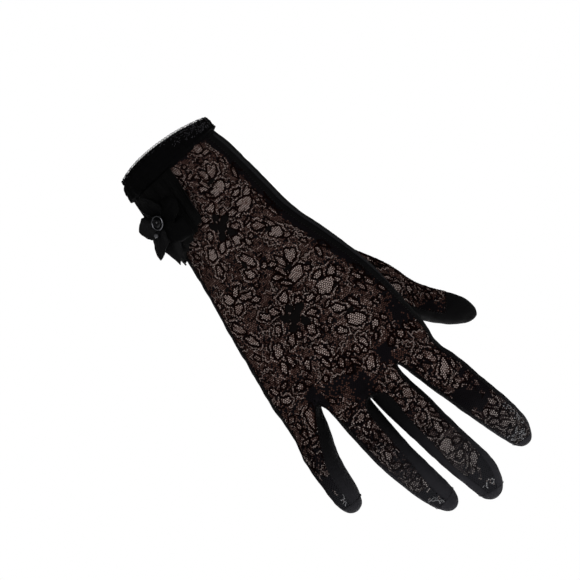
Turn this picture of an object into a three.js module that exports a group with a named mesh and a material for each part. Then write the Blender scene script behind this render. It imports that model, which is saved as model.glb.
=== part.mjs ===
// A lace dress glove for a right hand, in the shape that it has when it is worn.
// Millimetres, +Z up. The origin is the centre of the wrist opening, at the cuff's upper edge.
// The fingers hang towards -Z, the back of the hand faces -Y and the thumb is on the +X side.
//
// The cloth is one curved surface, worked out from the tables below as rings of points: a tube from the
// wrist to the finger webs that divides into four finger tubes, with the thumb tube set into its side.
// Each panel of the glove is a part of that surface, cut along the seams and given the cloth's thickness.

import * as THREE from "three";

// Driving dimensions.
const CLOTH = 1.0; // thickness of every panel
const SEAM_GAP = 0.22; // each panel stops this far from the seam line
const SEAT_GAP = 0.3; // between pieces that lie on each other
const CUFF_TOP = 2.0; // the band's upper edge at its highest point, CUFF_CREST
const CUFF_CREST = -12;
const CUFF_DROOP = { thumbSide: 0.005, littleSide: 0.01 }; // how fast the upper edge falls away from there
const CUFF_BOTTOM = -9.6;
const CUFF_GATHERS = 26;
const GATHER_DEPTH = 0.9;
const GATHER_WAIST = 0.6; // the share of that depth at the band's middle height
const CUFF_PUFF = 1.9; // the band's lower edge bulges by this over the ruffle
const LITTLE_SIDE_SPREAD = 0.6; // below 1 the bulge spreads further round
const EDGING_HEIGHT = 2.5;
const EDGING_DIP = 0.6; // the height between two picots, as a share

// The hand's tube. half is half the width, back and front the depths towards -Y and +Y, and square is the
// superellipse's exponent. seam is the angle of the seam between the lace and the band on the thumb side.
const HAND = [
  { z: -3, x: -1.2, y: 0.0, half: 23.4, back: 17.2, front: 17.2, square: 2.1, seam: 38 },
  { z: -20, x: -0.4, y: 0.2, half: 25.0, back: 16.9, front: 17.4, square: 2.15, seam: 38 },
  { z: -46, x: -1.2, y: 0.5, half: 26.9, back: 15.7, front: 17.6, square: 2.25, seam: 38 },
  { z: -60, x: -2.4, y: 0.9, half: 28.8, back: 15.1, front: 18.0, square: 2.3, seam: 37 },
  { z: -84, x: -3.3, y: 1.4, half: 34.5, back: 14.3, front: 18.0, square: 2.4, seam: 33 },
  { z: -108, x: -4.2, y: 1.7, half: 39.0, back: 13.5, front: 16.4, square: 2.5, seam: 28 },
  { z: -132, x: -6.6, y: 1.6, half: 41.5, back: 12.0, front: 13.4, square: 2.6, seam: 23 },
  { z: -152, x: -8.0, y: 1.5, half: 42.0, back: 9.9, front: 10.2, square: 2.7, seam: 19 },
];
const ULNAR_SEAM = 162; // angle of the seam on the little finger's side, all the way down
const PALM_SEAMS = { ulnar: 205, radial: 335 }; // angles of each finger's two seams on the palm side

// Columns of the tube where a finger begins or ends, with the angle there at the webs and the web's height.
const FINGER_QUADS = 4;
const WEB_QUADS = 4;
const CORNERS = [
  { column: 0, angle: 19, web: -149 },
  { column: 4, angle: 70, web: -150 },
  { column: 8, angle: 90.5, web: -153 },
  { column: 12, angle: 115, web: -139 },
  { column: 16, angle: 162, web: -134 },
  { column: 20, angle: 207, web: -134 },
  { column: 24, angle: 245, web: -139.5 },
  { column: 28, angle: 269.5, web: -153 },
  { column: 32, angle: 290, web: -150 },
  { column: 36, angle: 331, web: -149 },
  { column: 41, angle: 379, web: -149 },
];
const COLUMNS = 41;
const LACE_COLUMNS = 16; // the first columns are the lace of the back
const PALM_END = 36; // the column where the index finger's palm side ends
const ROWS = 14;
const WRIST_Z = -7; // the panels' upper edge, inside the cuff
const WEB_DIP = 4; // how far the web between two fingers lies below its corners
const WEB_FULLNESS = 0.7; // below 1 the web's curve is flatter in the middle

// Knuckles stand out of the back by height, and the hollows between the fingers sink in.
const KNUCKLES = [
  { x: 24, z: -124, height: 1.4, wide: 6.5, long: 11 },
  { x: 4.5, z: -128, height: 1.6, wide: 6.5, long: 11 },
  { x: -15, z: -124, height: 1.4, wide: 6.5, long: 11 },
  { x: -33, z: -115, height: 1.2, wide: 6.5, long: 10 },
  { x: 13.7, z: -146, height: -1.6, wide: 3.5, long: 9 },
  { x: -6.7, z: -148, height: -1.6, wide: 3.5, long: 9 },
  { x: -27, z: -135, height: -1.6, wide: 3.5, long: 9 },
];

// Finger stations from the web to the tip: centre, half the width and half the depth, and the angles of the
// two lace seams, from the thumb's side over the back to the other side.
const FINGERS = {
  index: {
    stations: [
      { x: 22.6, y: 2.0, z: -157, half: 9.9, deep: 9.1, from: 36, to: 146 },
      { x: 24.8, y: 2.6, z: -168, half: 9.9, deep: 8.8, from: 36, to: 146 },
      { x: 26.8, y: 3.6, z: -178.5, half: 9.4, deep: 8.5, from: 36, to: 146 },
      { x: 28.5, y: 5.0, z: -188.5, half: 8.9, deep: 8.2, from: 36, to: 146 },
      { x: 30.2, y: 6.7, z: -198.5, half: 8.4, deep: 7.6, from: 36, to: 146 },
      { x: 31.4, y: 8.5, z: -207.5, half: 7.6, deep: 6.9, from: 36, to: 144 },
      { x: 31.9, y: 10.0, z: -214.5, half: 6.3, deep: 5.6, from: 38, to: 142 },
      { x: 31.5, y: 11.0, z: -218.8, half: 4.5, deep: 3.9, from: 42, to: 138 },
      { x: 31.1, y: 11.6, z: -221.2, half: 2.4, deep: 2.1, from: 46, to: 134 },
    ],
    tip: { x: 30.9, y: 11.8, z: -222.1 },
    laceEnds: 8,
  },
  middle: {
    stations: [
      { x: 0.9, y: 1.5, z: -160, half: 9.5, deep: 9.0, from: 38, to: 105 },
      { x: 1.9, y: 2.0, z: -171, half: 9.6, deep: 8.9, from: 38, to: 114 },
      { x: 2.4, y: 2.8, z: -182, half: 9.5, deep: 8.7, from: 38, to: 118 },
      { x: 3.0, y: 4.0, z: -192.5, half: 9.3, deep: 8.5, from: 38, to: 122 },
      { x: 3.8, y: 5.6, z: -203, half: 9.1, deep: 8.0, from: 40, to: 132 },
      { x: 4.6, y: 7.3, z: -212.5, half: 8.9, deep: 7.4, from: 48, to: 130 },
      { x: 4.6, y: 9.0, z: -220.5, half: 8.0, deep: 6.5, from: 58, to: 122 },
      { x: 3.5, y: 10.3, z: -226.5, half: 6.0, deep: 4.9, from: 66, to: 114 },
      { x: 2.7, y: 11.0, z: -229.9, half: 3.4, deep: 2.8, from: 72, to: 108 },
    ],
    tip: { x: 2.3, y: 11.3, z: -231.3 },
    laceEnds: 8,
  },
  ring: {
    stations: [
      { x: -19.2, y: 1.8, z: -159, half: 9.4, deep: 8.9, from: 62, to: 142 },
      { x: -19.5, y: 2.4, z: -170, half: 9.0, deep: 8.6, from: 62, to: 146 },
      { x: -19.4, y: 3.4, z: -180, half: 8.7, deep: 8.3, from: 64, to: 148 },
      { x: -18.9, y: 4.8, z: -190, half: 8.2, deep: 7.9, from: 70, to: 148 },
      { x: -18.1, y: 6.5, z: -200, half: 7.6, deep: 7.3, from: 82, to: 148 },
      { x: -17.0, y: 8.2, z: -208.5, half: 6.8, deep: 6.5, from: 90, to: 146 },
      { x: -15.9, y: 9.5, z: -215, half: 5.6, deep: 5.2, from: 92, to: 142 },
      { x: -15.4, y: 10.3, z: -218.8, half: 4.1, deep: 3.8, from: 92, to: 138 },
      { x: -15.2, y: 10.7, z: -220.6, half: 2.3, deep: 2.1, from: 92, to: 134 },
    ],
    tip: { x: -15.1, y: 10.9, z: -221.3 },
    laceEnds: 7,
  },
  little: {
    stations: [
      { x: -41.2, y: 2.5, z: -147.5, half: 9.2, deep: 8.4, from: 68, to: 156 },
      { x: -44.8, y: 3.2, z: -156.5, half: 8.5, deep: 8.0, from: 80, to: 158 },
      { x: -47.2, y: 4.3, z: -165, half: 7.9, deep: 7.5, from: 92, to: 158 },
      { x: -48.6, y: 5.6, z: -173, half: 7.3, deep: 7.0, from: 96, to: 158 },
      { x: -49.5, y: 7.0, z: -180, half: 6.6, deep: 6.3, from: 98, to: 156 },
      { x: -50.2, y: 8.2, z: -185.2, half: 5.4, deep: 5.1, from: 98, to: 150 },
      { x: -50.4, y: 9.0, z: -188.6, half: 3.6, deep: 3.4, from: 98, to: 142 },
    ],
    tip: { x: -50.5, y: 9.3, z: -190.4 },
    laceEnds: 6,
  },
};
const FINGER_ORDER = ["index", "middle", "ring", "little"];
const FOURCHETTES = [
  "fourchette_index_middle",
  "fourchette_middle_ring",
  "fourchette_ring_little",
];

// The thumb stands on a block of the hand's tube, between these rows and columns. Its first station is the
// knuckle, and SKIN_STEPS rings lead from the block's outline to it in smooth curves.
const THUMB_BLOCK = { top: 6, bottom: 11, first: 31, last: 37 };
const SKIN_STEPS = 4;
const SKIN_RELAX = 10; // passes that even the skin out, each by RELAX_SHARE, or RELAX_KNUCKLE at the knuckle
const RELAX_SHARE = 0.6;
const RELAX_KNUCKLE = 0.06;
const SKIN_LIFT = 0.12; // how far the skin leaves the hand outwards at the hole's upper edge
const HOLE_OVAL = 0.75; // how far the block's corners are rounded towards an oval
const THUMB = {
  stations: [
    { x: 28.6, y: 24.3, z: -112, half: 11.0, deep: 10.8 },
    { x: 32.2, y: 27.0, z: -120.5, half: 10.3, deep: 10.1 },
    { x: 34.6, y: 29.3, z: -128, half: 9.4, deep: 9.3 },
    { x: 37.4, y: 31.5, z: -135.2, half: 8.6, deep: 8.6 },
    { x: 41.3, y: 33.7, z: -141.8, half: 8.0, deep: 8.0 },
    { x: 45.3, y: 35.6, z: -147.6, half: 7.7, deep: 7.3 },
    { x: 48.9, y: 37.0, z: -152.4, half: 6.9, deep: 6.4 },
    { x: 51.7, y: 38.0, z: -156.5, half: 5.3, deep: 4.8 },
    { x: 53.6, y: 38.5, z: -159.3, half: 3.0, deep: 2.7 },
  ],
  tip: { x: 54.5, y: 38.8, z: -160.7 },
  back: [0.25, -0.95, -0.1], // the way the thumb's nail faces
  laceFrom: -2, // quads of each ring that are lace, counted from the block's upper back corner
  laceTo: 4,
  laceEnds: 9,
};

// The ruffle hangs from the band on the little finger's side. Its two free edges and its hem follow this
// table of angles: from is the upper end of a place on the ruffle, to its lower end, and hem its height.
// It puffs out between its two ends by out, or by least of that where the cuff doesn't stand out.
const RUFFLE = [
  { place: 0, from: 98, to: 113, hem: -37 },
  { place: 0.25, from: 130, to: 132, hem: -41.5 },
  { place: 0.6, from: 176, to: 176, hem: -48 },
  { place: 0.8, from: 200, to: 202, hem: -46 },
  { place: 1, from: 232, to: 226, hem: -36 },
];
const RUFFLE_TOP = -9.9;
const RUFFLE_FOLDS = 10;
const RUFFLE_PUFF = { out: 1.8, least: 0.35, from: 0.12, to: 0.93, fullness: 0.8 };
const FOLD_DEPTH = 1.1;
const RUFFLE_ROWS = 8;

// The flower stands on the ruffle. Petals run from its hub to a tip, as wide as width and bent over the
// hub by arch, with their edges lower than their middle by cup.
const FLOWER = { centre: [-27.1, -14.9, -24.4], normal: [-0.55, -0.76, 0.35], hub: 3.0 };
const PETALS = [
  { name: "petal_side", tip: [-36.2, -11.4, -19.4], width: 8.0, arch: 1.0, cup: 0.8, sink: 2.8 },
  { name: "petal_outer_low", tip: [-38.6, -10.5, -38.2], width: 7.6, arch: 1.6, cup: 0.7, sink: 2.2 },
  { name: "petal_low", tip: [-32.2, -9.0, -46.8], width: 7.8, arch: 0.4, cup: 0.8, sink: 3.6 },
  { name: "petal_inner_low", tip: [-17.6, -22.0, -39.8], width: 8.0, arch: 2.2, cup: 0.6, sink: 2.2 },
  { name: "petal_inner", tip: [-12.5, -23.8, -22.0], width: 8.0, arch: 2.2, cup: 0.6, sink: 2.4 },
  { name: "petal_up", tip: [-24.2, -18.6, -9.8], width: 7.6, arch: 1.8, cup: 0.6, sink: 2.8 },
];
const PETAL_STEPS = 7;
const PETAL_QUADS = 4;
const PETAL_SWELL = { from: 0.07, to: 0.985, belly: 0.9, fullness: 0.85 };
const BEAD = { radius: 2.45, flat: 0.8 };
const BEAD_RING = { radius: 3.3, wire: 0.5 };
const SEED_BEAD = { radius: 1.1, petal: 1, along: 0.22 };

const BLACK_LACE = new THREE.MeshStandardMaterial({ color: 0x2a2422, roughness: 0.85, metalness: 0 });
const BLACK_JERSEY = new THREE.MeshStandardMaterial({ color: 0x121216, roughness: 0.6, metalness: 0 });
const BLACK_SATIN = new THREE.MeshStandardMaterial({ color: 0x0d0d10, roughness: 0.4, metalness: 0 });
const BLACK_GLASS = new THREE.MeshStandardMaterial({ color: 0x060607, roughness: 0.1, metalness: 0.1 });

const glove = new THREE.Group();
const vec = (x, y, z) => new THREE.Vector3(x, y, z);
const rad = THREE.MathUtils.degToRad;
const mix = THREE.MathUtils.lerp;

// The row of a table at value v of its column key, with every other column mixed smoothly in between.
function between(table, key, v) {
  const up = Math.sign(table[1][key] - table[0][key]);
  let i = 0;
  while (i < table.length - 2 && (v - table[i + 1][key]) * up > 0) i++;
  const [a, b] = [table[i], table[i + 1]];
  const t = THREE.MathUtils.clamp((v - a[key]) / (b[key] - a[key]), 0, 1);
  const row = {};
  for (const k of Object.keys(a)) {
    const before = table[Math.max(i - 1, 0)][k];
    const after = table[Math.min(i + 2, table.length - 1)][k];
    const slopeA = (b[k] - before) / 2;
    const slopeB = (after - a[k]) / 2;
    const t2 = t * t;
    const t3 = t2 * t;
    row[k] = (2 * t3 - 3 * t2 + 1) * a[k] + (t3 - 2 * t2 + t) * slopeA;
    row[k] += (3 * t2 - 2 * t3) * b[k] + (t3 - t2) * slopeB;
  }
  return row;
}

const straight = (table, key, v, k) => {
  const i = Math.max(0, table.findLastIndex((row, n) => n < table.length - 1 && row[key] <= v));
  const t = (v - table[i][key]) / (table[i + 1][key] - table[i][key]);
  return mix(table[i][k], table[i + 1][k], t);
};

const power = (v, exponent) => Math.sign(v) * Math.abs(v) ** exponent;

// A point of the hand's tube, grow millimetres outside the cloth.
function handPoint(z, degrees, grow = 0) {
  const s = between(HAND, "z", z);
  const [c, d] = [Math.cos(rad(degrees)), Math.sin(rad(degrees))];
  const x = s.x + (s.half + grow) * power(c, 2 / s.square);
  let y = s.y - ((d > 0 ? s.back : s.front) + grow) * power(d, 2 / s.square);
  if (d > 0)
    for (const k of KNUCKLES) {
      y -= k.height * Math.exp(-(((x - k.x) / k.wide) ** 2) - ((z - k.z) / k.long) ** 2);
    }
  return vec(x, y, z);
}

// The angle of a column at height z: the seams keep to their own angles, and the palm side's columns
// spread from even steps at the wrist to the fingers' corners at the webs.
function columnAngle(column, z, t) {
  const seam = between(HAND, "z", z).seam;
  const atWeb = straight(CORNERS, "column", column, "angle");
  const webSeam = CORNERS[0].angle;
  if (column <= LACE_COLUMNS) {
    const share = (atWeb - webSeam) / (ULNAR_SEAM - webSeam);
    return seam + (ULNAR_SEAM - seam) * share;
  }
  const even = mix(ULNAR_SEAM, seam + 360, (column - LACE_COLUMNS) / (COLUMNS - LACE_COLUMNS));
  const share = (atWeb - ULNAR_SEAM) / (webSeam + 360 - ULNAR_SEAM);
  return mix(even, ULNAR_SEAM + (seam + 360 - ULNAR_SEAM) * share, t * t);
}

// Every vertex of the surface, and every face with the panel that it belongs to.
const points = [];
const faces = [];
const addPoint = (p) => points.push(p) - 1;
const addFace = (panel, ...corners) => faces.push({ panel, corners });

// A point of the tube by row and column, which may lie between whole ones.
function tubePoint(row, column) {
  const t = row / ROWS;
  const z = mix(WRIST_Z, straight(CORNERS, "column", column, "web"), t);
  return handPoint(z, columnAngle(column, z, t));
}

// The place of a grid point: those on the thumb block's edge move so that the block becomes an oval hole.
function ovalPlace(row, column) {
  const { top, bottom, first, last } = THUMB_BLOCK;
  const u = (2 * row - top - bottom) / (bottom - top);
  const v = (2 * column - first - last) / (last - first);
  if (Math.max(Math.abs(u), Math.abs(v)) > 1) return [row, column];
  const round = (a, b) => a * mix(1, Math.sqrt(1 - (b * b) / 2), HOLE_OVAL);
  return [
    (top + bottom + round(u, v) * (bottom - top)) / 2,
    (first + last + round(v, u) * (last - first)) / 2,
  ];
}

// The hand's tube, row by row.
const tube = [];
for (let row = 0; row <= ROWS; row++) {
  tube.push([]);
  for (let column = 0; column < COLUMNS; column++) {
    tube[row].push(addPoint(tubePoint(...ovalPlace(row, column))));
  }
}
const inBlock = (row, column) => {
  const { top, bottom, first, last } = THUMB_BLOCK;
  return row >= top && row < bottom && column >= first && column < last;
};
for (let row = 0; row < ROWS; row++) {
  for (let column = 0; column < COLUMNS; column++) {
    if (inBlock(row, column)) continue;
    const panel = column < LACE_COLUMNS ? "back_panel" : "palm_panel";
    const next = (column + 1) % COLUMNS;
    addFace(panel, tube[row][column], tube[row][next], tube[row + 1][next], tube[row + 1][column]);
  }
}

// The line of points through the hand between two fingers, from the back to the palm side.
function webLine(backCorner, palmCorner) {
  const [a, b] = [points[tube[ROWS][backCorner]], points[tube[ROWS][palmCorner]]];
  const line = [tube[ROWS][backCorner]];
  for (let i = 1; i < WEB_QUADS; i++) {
    const t = i / WEB_QUADS;
    const p = a.clone().lerp(b, t);
    p.z -= WEB_DIP * Math.sin(Math.PI * t) ** WEB_FULLNESS;
    line.push(addPoint(p));
  }
  return [...line, tube[ROWS][palmCorner]];
}
const webs = [1, 2, 3].map((f) => webLine(FINGER_QUADS * f, PALM_END - FINGER_QUADS * f));
const hem = (from, to) => {
  const ids = [];
  for (let c = from; c <= to; c++) ids.push(tube[ROWS][c % COLUMNS]);
  return ids;
};

// Unit vectors across a finger or thumb at a station: out to the thumb's side, and to its back.
function crossFrame(stations, i, tip, start, back) {
  const before = i ? stations[i - 1] : start;
  const after = stations[i + 1] ?? tip;
  const along = vec(after.x - before.x, after.y - before.y, after.z - before.z).normalize();
  const side = new THREE.Vector3().crossVectors(back, along).normalize();
  return { side, up: new THREE.Vector3().crossVectors(along, side).normalize() };
}

// Joins rings of point ids into faces. panelOf gives the panel of a face from its ring and its place.
function joinRings(rings, tipId, panelOf) {
  const n = rings[0].length;
  for (let r = 0; r < rings.length; r++) {
    for (let i = 0; i < n; i++) {
      const j = (i + 1) % n;
      const far = rings[r + 1];
      if (far) addFace(panelOf(r, i), rings[r][i], rings[r][j], far[j], far[i]);
      else addFace(panelOf(r, i), rings[r][i], rings[r][j], tipId);
    }
  }
}

FINGER_ORDER.forEach((name, f) => {
  const { stations, tip, laceEnds } = FINGERS[name];
  const past = FINGER_QUADS * f;
  const backSide = hem(past, past + FINGER_QUADS);
  const palmSide = hem(PALM_END - past - FINGER_QUADS, PALM_END - past);
  const ulnarSide = name === "little" ? hem(LACE_COLUMNS, LACE_COLUMNS + FINGER_QUADS) : webs[f];
  const radialSide = name === "index" ? hem(PALM_END, COLUMNS) : [...webs[f - 1]].reverse();
  const root = [backSide, ulnarSide, palmSide, radialSide].flatMap((ids) => ids.slice(0, -1));
  const counts = [FINGER_QUADS, ulnarSide.length - 1, FINGER_QUADS, radialSide.length - 1];
  const start = root.reduce((sum, id) => sum.add(points[id]), vec(0, 0, 0)).divideScalar(root.length);
  const rings = [root];
  stations.forEach((s, i) => {
    const { side, up } = crossFrame(stations, i, tip, start, vec(0, -1, 0));
    const stops = [s.from, s.to, PALM_SEAMS.ulnar, PALM_SEAMS.radial, 360 + s.from];
    const ring = [];
    counts.forEach((count, part) => {
      for (let k = 0; k < count; k++) {
        const a = rad(mix(stops[part], stops[part + 1], k / count));
        const p = vec(s.x, s.y, s.z);
        p.addScaledVector(side, s.half * Math.cos(a)).addScaledVector(up, s.deep * Math.sin(a));
        ring.push(addPoint(p));
      }
    });
    rings.push(ring);
  });
  joinRings(rings, addPoint(vec(tip.x, tip.y, tip.z)), (r, i) => {
    if (i < counts[0]) return r < laceEnds ? "back_panel" : "palm_panel";
    if (r >= laceEnds) return "palm_panel";
    if (i < counts[0] + counts[1]) return FOURCHETTES[f] ?? "palm_panel";
    if (i >= counts[0] + counts[1] + counts[2]) return FOURCHETTES[f - 1] ?? "palm_panel";
    return "palm_panel";
  });
});

// The thumb's tube, from the outline of its block. The outline runs down the back edge, along the lower
// edge, up the palm edge and back along the upper edge. The skin that leads to the first station leaves the
// hand downwards at the upper edge and straight out at the lower edge.
{
  const { top, bottom, first, last } = THUMB_BLOCK;
  const outline = [];
  const add = (row, column, angle) => outline.push({ id: tube[row][column], row, column, angle });
  const [tall, wide] = [bottom - top, last - first];
  for (let i = 0; i < tall; i++) add(top + i, last, 45 + (90 * i) / tall);
  for (let i = 0; i < wide; i++) add(bottom, last - i, 135 + (90 * i) / wide);
  for (let i = 0; i < tall; i++) add(bottom - i, first, 225 + (90 * i) / tall);
  for (let i = 0; i < wide; i++) add(top, first + i, 315 + (90 * i) / wide);
  const start = outline.reduce((sum, o) => sum.add(points[o.id]), vec(0, 0, 0)).divideScalar(outline.length);
  const { stations, tip, back, laceFrom, laceTo, laceEnds } = THUMB;
  const centres = stations.map((s) => vec(s.x, s.y, s.z));
  const stationPoints = stations.map((s, i) => {
    const { side, up } = crossFrame(stations, i, tip, start, vec(...back));
    return outline.map(({ angle }) => {
      const p = centres[i].clone().addScaledVector(side, s.half * Math.cos(rad(angle)));
      return p.addScaledVector(up, s.deep * Math.sin(rad(angle)));
    });
  });
  const along = centres[1].clone().sub(centres[0]).normalize();
  const skin = (o, k, t) => {
    const from = points[o.id];
    const to = stationPoints[0][k];
    const low = (o.row - top) / tall;
    const [after, before] = [tube[o.row][(o.column + 1) % COLUMNS], tube[o.row][o.column - 1]];
    const outwards = points[after].clone().sub(points[before]).cross(vec(0, 0, 1)).normalize();
    const leave = vec(0, 0, low - 1).addScaledVector(outwards, mix(SKIN_LIFT, 1, low)).normalize();
    const reach = from.distanceTo(to);
    const [t2, t3] = [t * t, t * t * t];
    const p = from.clone().multiplyScalar(2 * t3 - 3 * t2 + 1).addScaledVector(to, 3 * t2 - 2 * t3);
    p.addScaledVector(leave, reach * (t3 - 2 * t2 + t));
    return p.addScaledVector(along, reach * (t3 - t2));
  };
  const rings = [outline.map((o) => o.id)];
  for (let step = 1; step < SKIN_STEPS; step++) {
    rings.push(outline.map((o, k) => addPoint(skin(o, k, step / SKIN_STEPS))));
  }
  for (const ring of stationPoints) rings.push(ring.map(addPoint));
  const n = outline.length;
  for (let pass = 0; pass < SKIN_RELAX; pass++) {
    for (let step = 1; step <= SKIN_STEPS; step++) {
      rings[step].forEach((id, k) => {
        const beside = [rings[step][(k + 1) % n], rings[step][(k + n - 1) % n]];
        const near = [rings[step - 1][k], rings[step + 1][k], ...beside];
        const even = near.reduce((sum, other) => sum.add(points[other]), vec(0, 0, 0)).divideScalar(4);
        points[id].lerp(even, step < SKIN_STEPS ? RELAX_SHARE : RELAX_KNUCKLE);
      });
    }
  }
  joinRings(rings, addPoint(vec(tip.x, tip.y, tip.z)), (r, i) => {
    const place = i >= n + laceFrom ? i - n : i;
    return r < laceEnds && place < laceTo ? "thumb_back" : "thumb_front";
  });
}

// Outward normals of the whole surface, so that neighbouring panels meet edge to edge.
const normals = points.map(() => vec(0, 0, 0));
for (const { corners } of faces) {
  const [a, b, c] = [points[corners[0]], points[corners[1]], points[corners[2]]];
  const d = points[corners[corners.length - 1]];
  const n = new THREE.Vector3().crossVectors(c.clone().sub(a), d.clone().sub(b));
  if (corners.length === 3) n.crossVectors(b.clone().sub(a), c.clone().sub(a));
  for (const id of corners) normals[id].add(n);
}
normals.forEach((n) => n.normalize());

// A closed geometry from a list of corner points and faces of 3 or 4 corners.
function geometryOf(corners, polygons) {
  const index = [];
  for (const p of polygons) {
    const [a, b, c, d] = p;
    const length = (from, to) => corners[from].distanceTo(corners[to]);
    if (p.length === 3) index.push(a, b, c);
    else if (length(a, c) > length(b, d)) index.push(a, b, d, b, c, d);
    else index.push(a, b, c, a, c, d);
  }
  const geometry = new THREE.BufferGeometry().setFromPoints(corners);
  geometry.setIndex(index);
  geometry.computeVertexNormals();
  return geometry;
}

// One panel of the surface as a solid: its outer faces, the same faces a cloth's thickness inside, and a
// rim along its edge, drawn back from the seam line by SEAM_GAP.
function panelGeometry(panel) {
  const own = faces.filter((f) => f.panel === panel);
  const edges = new Set();
  for (const { corners: c } of own) c.forEach((id, k) => edges.add(id + "," + c[(k + 1) % c.length]));
  const rim = [...edges].map((e) => e.split(",").map(Number)).filter(([a, b]) => !edges.has(b + "," + a));
  const inward = new Map();
  for (const [a, b] of rim) {
    const face = own.find(({ corners: c }) => c.some((id, k) => id === a && c[(k + 1) % c.length] === b));
    const middle = face.corners.reduce((sum, id) => sum.add(points[id]), vec(0, 0, 0));
    middle.divideScalar(face.corners.length);
    const run = points[b].clone().sub(points[a]).normalize();
    const away = middle.sub(points[a]);
    away.addScaledVector(run, -away.dot(run)).normalize();
    for (const id of [a, b]) inward.set(id, [...(inward.get(id) ?? []), away]);
  }
  const place = new Map();
  const outer = [];
  const inner = [];
  for (const { corners: c } of own) {
    for (const id of c) {
      if (place.has(id)) continue;
      place.set(id, outer.length);
      const p = points[id].clone();
      const ways = inward.get(id);
      if (ways) {
        const sum = ways.reduce((s, w) => s.add(w), vec(0, 0, 0));
        p.addScaledVector(sum, (SEAM_GAP * ways.length) / Math.max(sum.lengthSq(), 0.5));
      }
      outer.push(p);
      inner.push(p.clone().addScaledVector(normals[id], -CLOTH));
    }
  }
  const n = outer.length;
  const polygons = [];
  for (const { corners: c } of own) {
    const ids = c.map((id) => place.get(id));
    polygons.push(ids, ids.map((i) => i + n).reverse());
  }
  for (const [a, b] of rim) polygons.push([place.get(b), place.get(a), place.get(a) + n, place.get(b) + n]);
  return geometryOf([...outer, ...inner], polygons);
}

function addMesh(name, geometry, material) {
  const mesh = new THREE.Mesh(geometry, material);
  mesh.name = name;
  glove.add(mesh);
}

addMesh("back_panel", panelGeometry("back_panel"), BLACK_LACE);
addMesh("palm_panel", panelGeometry("palm_panel"), BLACK_JERSEY);
for (const name of FOURCHETTES) addMesh(name, panelGeometry(name), BLACK_JERSEY);
addMesh("thumb_back", panelGeometry("thumb_back"), BLACK_LACE);
addMesh("thumb_front", panelGeometry("thumb_front"), BLACK_JERSEY);

// A closed ring from rows of points. at(i, k) gives point i of n around and k of m across the section.
function ringGeometry(n, m, at) {
  const corners = [];
  for (let i = 0; i < n; i++) for (let k = 0; k < m; k++) corners.push(at(i, k));
  const polygons = [];
  for (let i = 0; i < n; i++)
    for (let k = 0; k < m; k++) {
      const [j, l] = [(i + 1) % n, (k + 1) % m];
      polygons.push([i * m + k, j * m + k, j * m + l, i * m + l]);
    }
  return geometryOf(corners, polygons);
}

// The height of the cuff's upper edge, which falls away to both sides.
function cuffTop(x) {
  const away = x - CUFF_CREST;
  return CUFF_TOP - (away > 0 ? CUFF_DROOP.thumbSide : CUFF_DROOP.littleSide) * away * away;
}

// How far the cuff and the ruffle stand out on the little finger's side, from 0 to 1.
const littleSide = (degrees) => Math.max(0, -Math.cos(rad(degrees))) ** LITTLE_SIDE_SPREAD;

// The cuff: a gathered band round the wrist, outside the panels. Its section runs down the outside and
// back up the inside. The gathers are deepest at its two edges.
const CUFF_ROWS = [0, 0.2, 0.5, 0.8, 1];
const cuffSteps = CUFF_GATHERS * 2;
const cuffPoint = (i, drop, grow) => {
  const degrees = (360 * i) / cuffSteps;
  const ripple = (i % 2 ? GATHER_DEPTH : 0) * mix(GATHER_WAIST, 1, Math.abs(2 * drop - 1));
  const puff = CUFF_PUFF * drop * littleSide(degrees);
  const p = handPoint(mix(WRIST_Z, CUFF_BOTTOM, drop), degrees, SEAT_GAP + grow + ripple + puff);
  p.z = mix(cuffTop(p.x), CUFF_BOTTOM, drop);
  return p;
};
addMesh(
  "cuff_band",
  ringGeometry(cuffSteps, CUFF_ROWS.length * 2, (i, k) => {
    const outside = k < CUFF_ROWS.length;
    const drop = CUFF_ROWS[outside ? k : CUFF_ROWS.length * 2 - 1 - k];
    return cuffPoint(i, drop, outside ? CLOTH : 0);
  }),
  BLACK_SATIN,
);

// The picot edging that stands on the cuff's upper edge, in waves.
addMesh(
  "cuff_edging",
  ringGeometry(cuffSteps, 4, (i, k) => {
    const height = k === 0 || k === 3 ? EDGING_HEIGHT * (i % 2 ? 1 : EDGING_DIP) : SEAT_GAP;
    const p = cuffPoint(i, 0, k < 2 ? CLOTH : 0);
    p.z += height;
    return p;
  }),
  BLACK_LACE,
);

// A sheet of cloth as a closed solid. at(i, j, side) gives its points, with side 1 outside and 0 inside.
function sheetGeometry(n, m, at) {
  const corners = [];
  for (const side of [1, 0])
    for (let i = 0; i <= n; i++) for (let j = 0; j <= m; j++) corners.push(at(i / n, j / m, side));
  const id = (i, j, side) => (1 - side) * (n + 1) * (m + 1) + i * (m + 1) + j;
  const polygons = [];
  for (let i = 0; i < n; i++)
    for (let j = 0; j < m; j++) {
      const quad = (side) => [id(i, j, side), id(i + 1, j, side), id(i + 1, j + 1, side), id(i, j + 1, side)];
      polygons.push(quad(1), quad(0).reverse());
    }
  const wall = (a, b) => polygons.push([id(...b, 1), id(...a, 1), id(...a, 0), id(...b, 0)]);
  for (let i = 0; i < n; i++) {
    wall([i, 0], [i + 1, 0]);
    wall([i + 1, m], [i, m]);
  }
  for (let j = 0; j < m; j++) {
    wall([n, j], [n, j + 1]);
    wall([0, j + 1], [0, j]);
  }
  return geometryOf(corners, polygons);
}

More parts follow.
